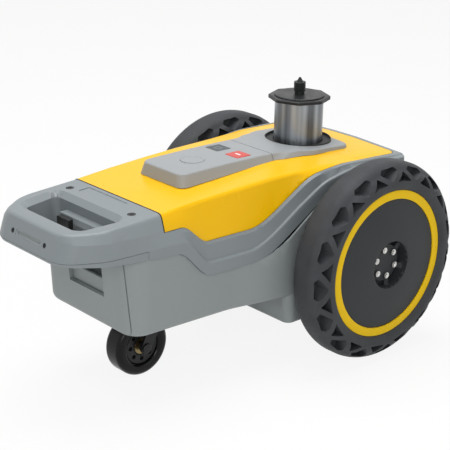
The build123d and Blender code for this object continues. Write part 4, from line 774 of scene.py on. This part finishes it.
class DressMast(bpy.types.Operator):
    """Dress the can sleeve, line its hole and model the ringed prism spigot"""
    bl_idname = "robot.mast"
    bl_label = "Sleeve and spigot"

    def execute(self, context):
        details = context.scene.robot_details
        dress("can_guide", "black_nylon", melt=1.0)
        self.line_hole(details)
        dress("can_sleeve", "brushed_stainless_painted_reflection")
        dress("sleeve_cap", "black_oxide_steel", melt=1.0)
        dress("cap_disc", "black_oxide_steel", melt=1.0)
        dress("marking_can", "white_can_enamel")
        dress("can_collar", "black_nylon")
        dress("spray_head", "black_nylon")
        dress("spray_nozzle", "black_nylon")
        self.ring_spigot(details)
        return {"FINISHED"}

    def ring_spigot(self, details):
        """The prism spigot turned as one piece: a neck, a ringed barrel with a chamfer, and a blunt tip."""
        low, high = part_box("prism_spigot")
        centre, r = (low + high) / 2, (high.x - low.x) / 2
        neck, tip, chamfer = r * NECK_SHARE, r * TIP_SHARE, details.spigot_chamfer
        pitch, deep = details.thread_pitch, details.thread_depth
        z, end = low.z + details.spigot_neck, low.z + details.spigot_barrel
        outline = [(neck, low.z), (neck, low.z + details.spigot_neck * NECK_STRAIGHT)]
        while z + pitch < end - RING_ROOM * pitch:
            outline += [(r - deep * cut, z + pitch * rise) for rise, cut in RING_SHAPE]
            z += pitch
        outline += [(r, z + LAND_RISE * pitch), (r, end - chamfer), (r - chamfer, end)]
        outline += [(tip * share, end + rise * MM) for share, rise in TIP_FOOT]
        outline += [(tip * share, high.z + rise * MM) for share, rise in TIP_CROWN]
        spigot = turned("ringed_spigot", centre, outline)
        bpy.ops.object.shade_smooth_by_angle(angle=math.radians(TURNED_SOFT))
        give(spigot, "black_oxide_steel")
        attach(spigot, "can_carrier")
        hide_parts("prism_spigot")

    def line_hole(self, details):
        """A black liner in the hole that the sleeve stands in: a wall with a flange that wipes the sleeve."""
        low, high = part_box("can_sleeve")
        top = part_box("canister_collar")[1].z
        outer, inner, wall = details.liner_radius, details.wiper_radius, details.liner_wall
        rim, floor, lip = -details.liner_sink, -details.wiper_sink, details.wiper_lip
        section = [(outer, rim), (outer - wall, rim), (outer - wall, floor), (inner + 2 * lip, floor),
                   (inner + lip, floor + lip), (inner, floor + lip), (inner, floor - wall),
                   (outer, floor - wall)]
        ring = swept_ring("hole_liner", (*((low + high) / 2).xy, top), [(r, 0, z) for r, z in section], "Z",
                          LINER_STEPS)
        round_edges(ring, details.small_edge, ROUND)
        bpy.ops.object.shade_smooth_by_angle(angle=math.radians(TURNED_SOFT))
        give(ring, "black_nylon")
        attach(ring, body_of("canister_collar"))


class DressWheels(bpy.types.Operator):
    """Mould both drive tyres and dress the rest of the wheels"""
    bl_idname = "robot.wheels"
    bl_label = "Drive wheels"

    def execute(self, context):
        mould = self.mould_tyre(context.scene.robot_tyre)
        for side in SIDES:
            self.fit_tyre(mould, side + "tyre")
            dress(side + "wheel_disc", "glass_filled_nylon_wheel", angle=30)
            dress(side + "wheel_ring", "yellow_ring_acetal")
            dress(side + "wheel_screws", "zinc_plated_steel")
            dress(side + "hub_flange", "cast_aluminium")
            dress(side + "axle_shaft", "machined_steel")
        bpy.data.objects.remove(mould)
        return {"FINISHED"}

    def mould_tyre(self, tyre):
        """A rubber ring round the origin with deep truss pockets cut into both faces, their edges rounded."""
        low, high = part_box("left_tyre")
        half = bowed(CROWN, SHOULDER, CROWN_BOW) + bowed(SHOULDER, SIDEWALL, SHOULDER_BOW)
        half += [SIDEWALL, LIP, BEAD]
        section = [(r * MM, y * MM, 0) for r, y in half + [(r, -y) for r, y in reversed(half)]]
        mould = swept_ring("tyre_mould", (0, 0, 0), section, "Y", tyre.steps)
        cutter = self.pockets((high.y - low.y) / 2 + CUT_OVER, tyre)
        finish_with(mould, "BOOLEAN", operation="DIFFERENCE", object=cutter, solver="EXACT")
        bpy.data.objects.remove(cutter)
        round_edges(mould, tyre.edge, TYRE_ROUND)
        bpy.ops.object.shade_smooth_by_angle(angle=math.radians(TYRE_SOFT))
        finish_with(mould, "WEIGHTED_NORMAL", keep_sharp=True)
        give(mould, "moulded_tyre_rubber")
        return mould

    def pockets(self, reach, tyre):
        """One cutting piece for a tyre at the origin, with triangles and gables by turns on both faces.

        Each is modelled once on the face towards -Y, then copied round the axle and to the other face."""
        eave, top, base = tyre.gable_eave_half, tyre.gable_top_half, tyre.triangle_half
        triangle = [(tyre.triangle_tip, 0), (tyre.triangle_base, -base), (tyre.triangle_base, base)]
        gable = [(tyre.gable_tip, 0), (tyre.gable_eave, eave), (tyre.gable_top, top), (tyre.gable_top, -top),
                 (tyre.gable_eave, -eave)]
        pitch, cuts = 2 * math.pi / tyre.count, []
        for outline, floor, lag in ((triangle, tyre.triangle_floor, 0), (gable, tyre.gable_floor, pitch / 2)):
            pocket = prism(outline, -reach, -floor, tyre.corner, tyre.draft)
            for over in (Matrix.Identity(4), Matrix.Rotation(math.pi, 4, "X")):
                for i in range(tyre.count):
                    cut = copied(pocket, "pocket")
                    cut.data.transform(over @ Matrix.Rotation(-(tyre.start + lag + i * pitch), 4, "Y"))
                    cuts.append(cut)
            bpy.data.objects.remove(pocket)
        bpy.ops.object.select_all(action="DESELECT")
        for cut in cuts:
            cut.select_set(True)
        bpy.context.view_layer.objects.active = cuts[0]
        bpy.ops.object.join()
        return bpy.context.active_object

    def fit_tyre(self, mould, node):
        """A copy of the moulded tyre in a CAD tyre's place."""
        low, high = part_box(node)
        ring = copied(mould, "moulded_" + node)
        ring.data.transform(Matrix.Translation((low + high) / 2))
        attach(ring, body_of(node))
        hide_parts(node)


class DressCaster(bpy.types.Operator):
    """Dress the rear caster"""
    bl_idname = "robot.caster"
    bl_label = "Caster"

    def execute(self, context):
        details = context.scene.robot_details
        dress("caster_tyre", "caster_polyurethane", edge=details.caster_edge, segments=6)
        dress("caster_hub", "black_nylon")
        dress("caster_bearings", "bearing_brass")
        dress("caster_fork", "black_oxide_steel")
        dress("caster_axle", "black_oxide_steel")
        dress("caster_plate", "black_oxide_steel", edge=details.small_edge)
        dress("swivel_housing", "black_oxide_steel")
        dress("caster_screws", "machined_steel")
        return {"FINISHED"}


class DressWorks(bpy.types.Operator):
    """Dress the drive, board and other inner pieces"""
    bl_idname = "robot.works"
    bl_label = "Inner works"

    def execute(self, context):
        edge = context.scene.robot_details.small_edge
        for side in SIDES:
            dress(side + "gearmotor", "cast_aluminium")
            dress(side + "motor_bracket", "machined_steel", edge=edge)
            dress(side + "axle_bearing", "machined_steel")
        dress("control_board", "green_board_lacquer")
        dress("board_standoffs", "black_nylon")
        return {"FINISHED"}


class SetStage(bpy.types.Operator):
    """Set the floor, sky, lamps and camera"""
    bl_idname = "robot.stage"
    bl_label = "Stage"

    def execute(self, context):
        scene, stage = context.scene, context.scene.robot_stage
        scene.view_settings.view_transform = "Standard"
        self.lay_floor(stage)
        self.open_sky(scene, stage)
        self.hang_lamps(scene)
        self.place_camera(scene, stage)
        return {"FINISHED"}

    def lay_floor(self, stage):
        """A pale matt floor that looks nearly white, so that it runs into the white round it."""
        bpy.ops.object.select_all(action="DESELECT")
        bpy.ops.mesh.primitive_plane_add(size=FLOOR_SIDE, location=(0, 0, 0))
        floor = bpy.context.active_object
        floor.name = "floor"
        material = blank("pale_studio_floor")
        tree = material.node_tree
        share = add(tree, "ShaderNodeMath", {0: seen_rays(tree), 1: stage.glow}, operation="MULTIPLY")
        matt = add(tree, "ShaderNodeBsdfDiffuse", {"Color": list(stage.floor) + [1.0]})
        glow = add(tree, "ShaderNodeEmission", {"Color": WHITE, "Strength": 1.0})
        mix = add(tree, "ShaderNodeMixShader", {0: share.outputs[0], 1: matt.outputs[0], 2: glow.outputs[0]})
        add(tree, "ShaderNodeOutputMaterial", {"Surface": mix.outputs[0]})
        floor.data.materials.append(material)

    def open_sky(self, scene, stage):
        """Even light from all round, from a sky that looks white."""
        world = bpy.data.worlds.new("even_sky")
        scene.world = world
        world.use_nodes = True
        tree = world.node_tree
        tree.nodes.clear()
        even = add(tree, "ShaderNodeBackground", {"Color": WHITE, "Strength": stage.sky})
        white = add(tree, "ShaderNodeBackground", {"Color": WHITE, "Strength": 1.0})
        mix = add(tree, "ShaderNodeMixShader", {0: seen_rays(tree), 1: even.outputs[0], 2: white.outputs[0]})
        add(tree, "ShaderNodeOutputWorld", {"Surface": mix.outputs[0]})

    def hang_lamps(self, scene):
        """The softboxes, all turned to one point on the robot."""
        for name, spot, side, power in LAMPS:
            lamp = bpy.data.lights.new(name, "AREA")
            lamp.size = side
            lamp.energy = power
            softbox = bpy.data.objects.new(name, lamp)
            scene.collection.objects.link(softbox)
            aim = (LAMP_AIM - Vector(spot)).to_track_quat("-Z", "Y")
            softbox.matrix_world = Matrix.Translation(spot) @ aim.to_matrix().to_4x4()

    def place_camera(self, scene, stage):
        """The camera at its place, turned by its bearing, tip and roll."""
        camera = bpy.data.objects.new("camera", bpy.data.cameras.new("camera"))
        scene.collection.objects.link(camera)
        camera.data.sensor_width = SENSOR
        camera.data.lens = stage.lens
        turn, tip, roll = stage.turn, stage.tip, stage.roll
        back = Vector((-math.sin(turn) * math.cos(tip), -math.cos(turn) * math.cos(tip), math.sin(tip)))
        right = Vector((math.cos(turn), -math.sin(turn), 0))
        up = Vector((math.sin(turn) * math.sin(tip), math.cos(turn) * math.sin(tip), math.cos(tip)))
        tilted = right * math.cos(roll) + up * math.sin(roll)
        upright = up * math.cos(roll) - right * math.sin(roll)
        axes = Matrix((tilted, upright, back)).transposed().to_4x4()
        camera.matrix_world = Matrix.Translation(stage.spot) @ axes
        scene.camera = camera


GROUPS = {"robot_finishes": RobotFinishes, "robot_details": RobotDetails, "robot_tyre": RobotTyre,
          "robot_stage": RobotStage}
STEPS = (MakeFinishes, DressBody, DressHandle, DressDrawer, DressConsole, DressMast, DressWheels, DressCaster,
         DressWorks, SetStage)


class RobotPanel(bpy.types.Panel):
    """Robot steps and settings in the sidebar"""
    bl_idname = "VIEW3D_PT_robot"
    bl_label = "Layout Marking Robot"
    bl_space_type = "VIEW_3D"
    bl_region_type = "UI"
    bl_category = "Robot"

    def draw(self, context):
        for step in STEPS:
            self.layout.operator(step.bl_idname)
        for group in GROUPS:
            settings = getattr(context.scene, group)
            for name in settings.bl_rna.properties.keys():
                if name not in {"rna_type", "name"}:
                    self.layout.prop(settings, name)


CLASSES = tuple(GROUPS.values()) + STEPS + (RobotPanel,)


def register():
    for cls in CLASSES:
        bpy.utils.register_class(cls)
    for name, group in GROUPS.items():
        setattr(bpy.types.Scene, name, bpy.props.PointerProperty(type=group))


def unregister():
    for name in GROUPS:
        delattr(bpy.types.Scene, name)
    for cls in reversed(CLASSES):
        bpy.utils.unregister_class(cls)


def main():
    register()
    bpy.ops.robot.finishes()
    bpy.ops.robot.body()
    bpy.ops.robot.handle()
    bpy.ops.robot.drawer()
    bpy.ops.robot.console()
    bpy.ops.robot.mast()
    bpy.ops.robot.wheels()
    bpy.ops.robot.caster()
    bpy.ops.robot.works()
    bpy.ops.robot.stage()


if __name__ == "__main__":
    main()
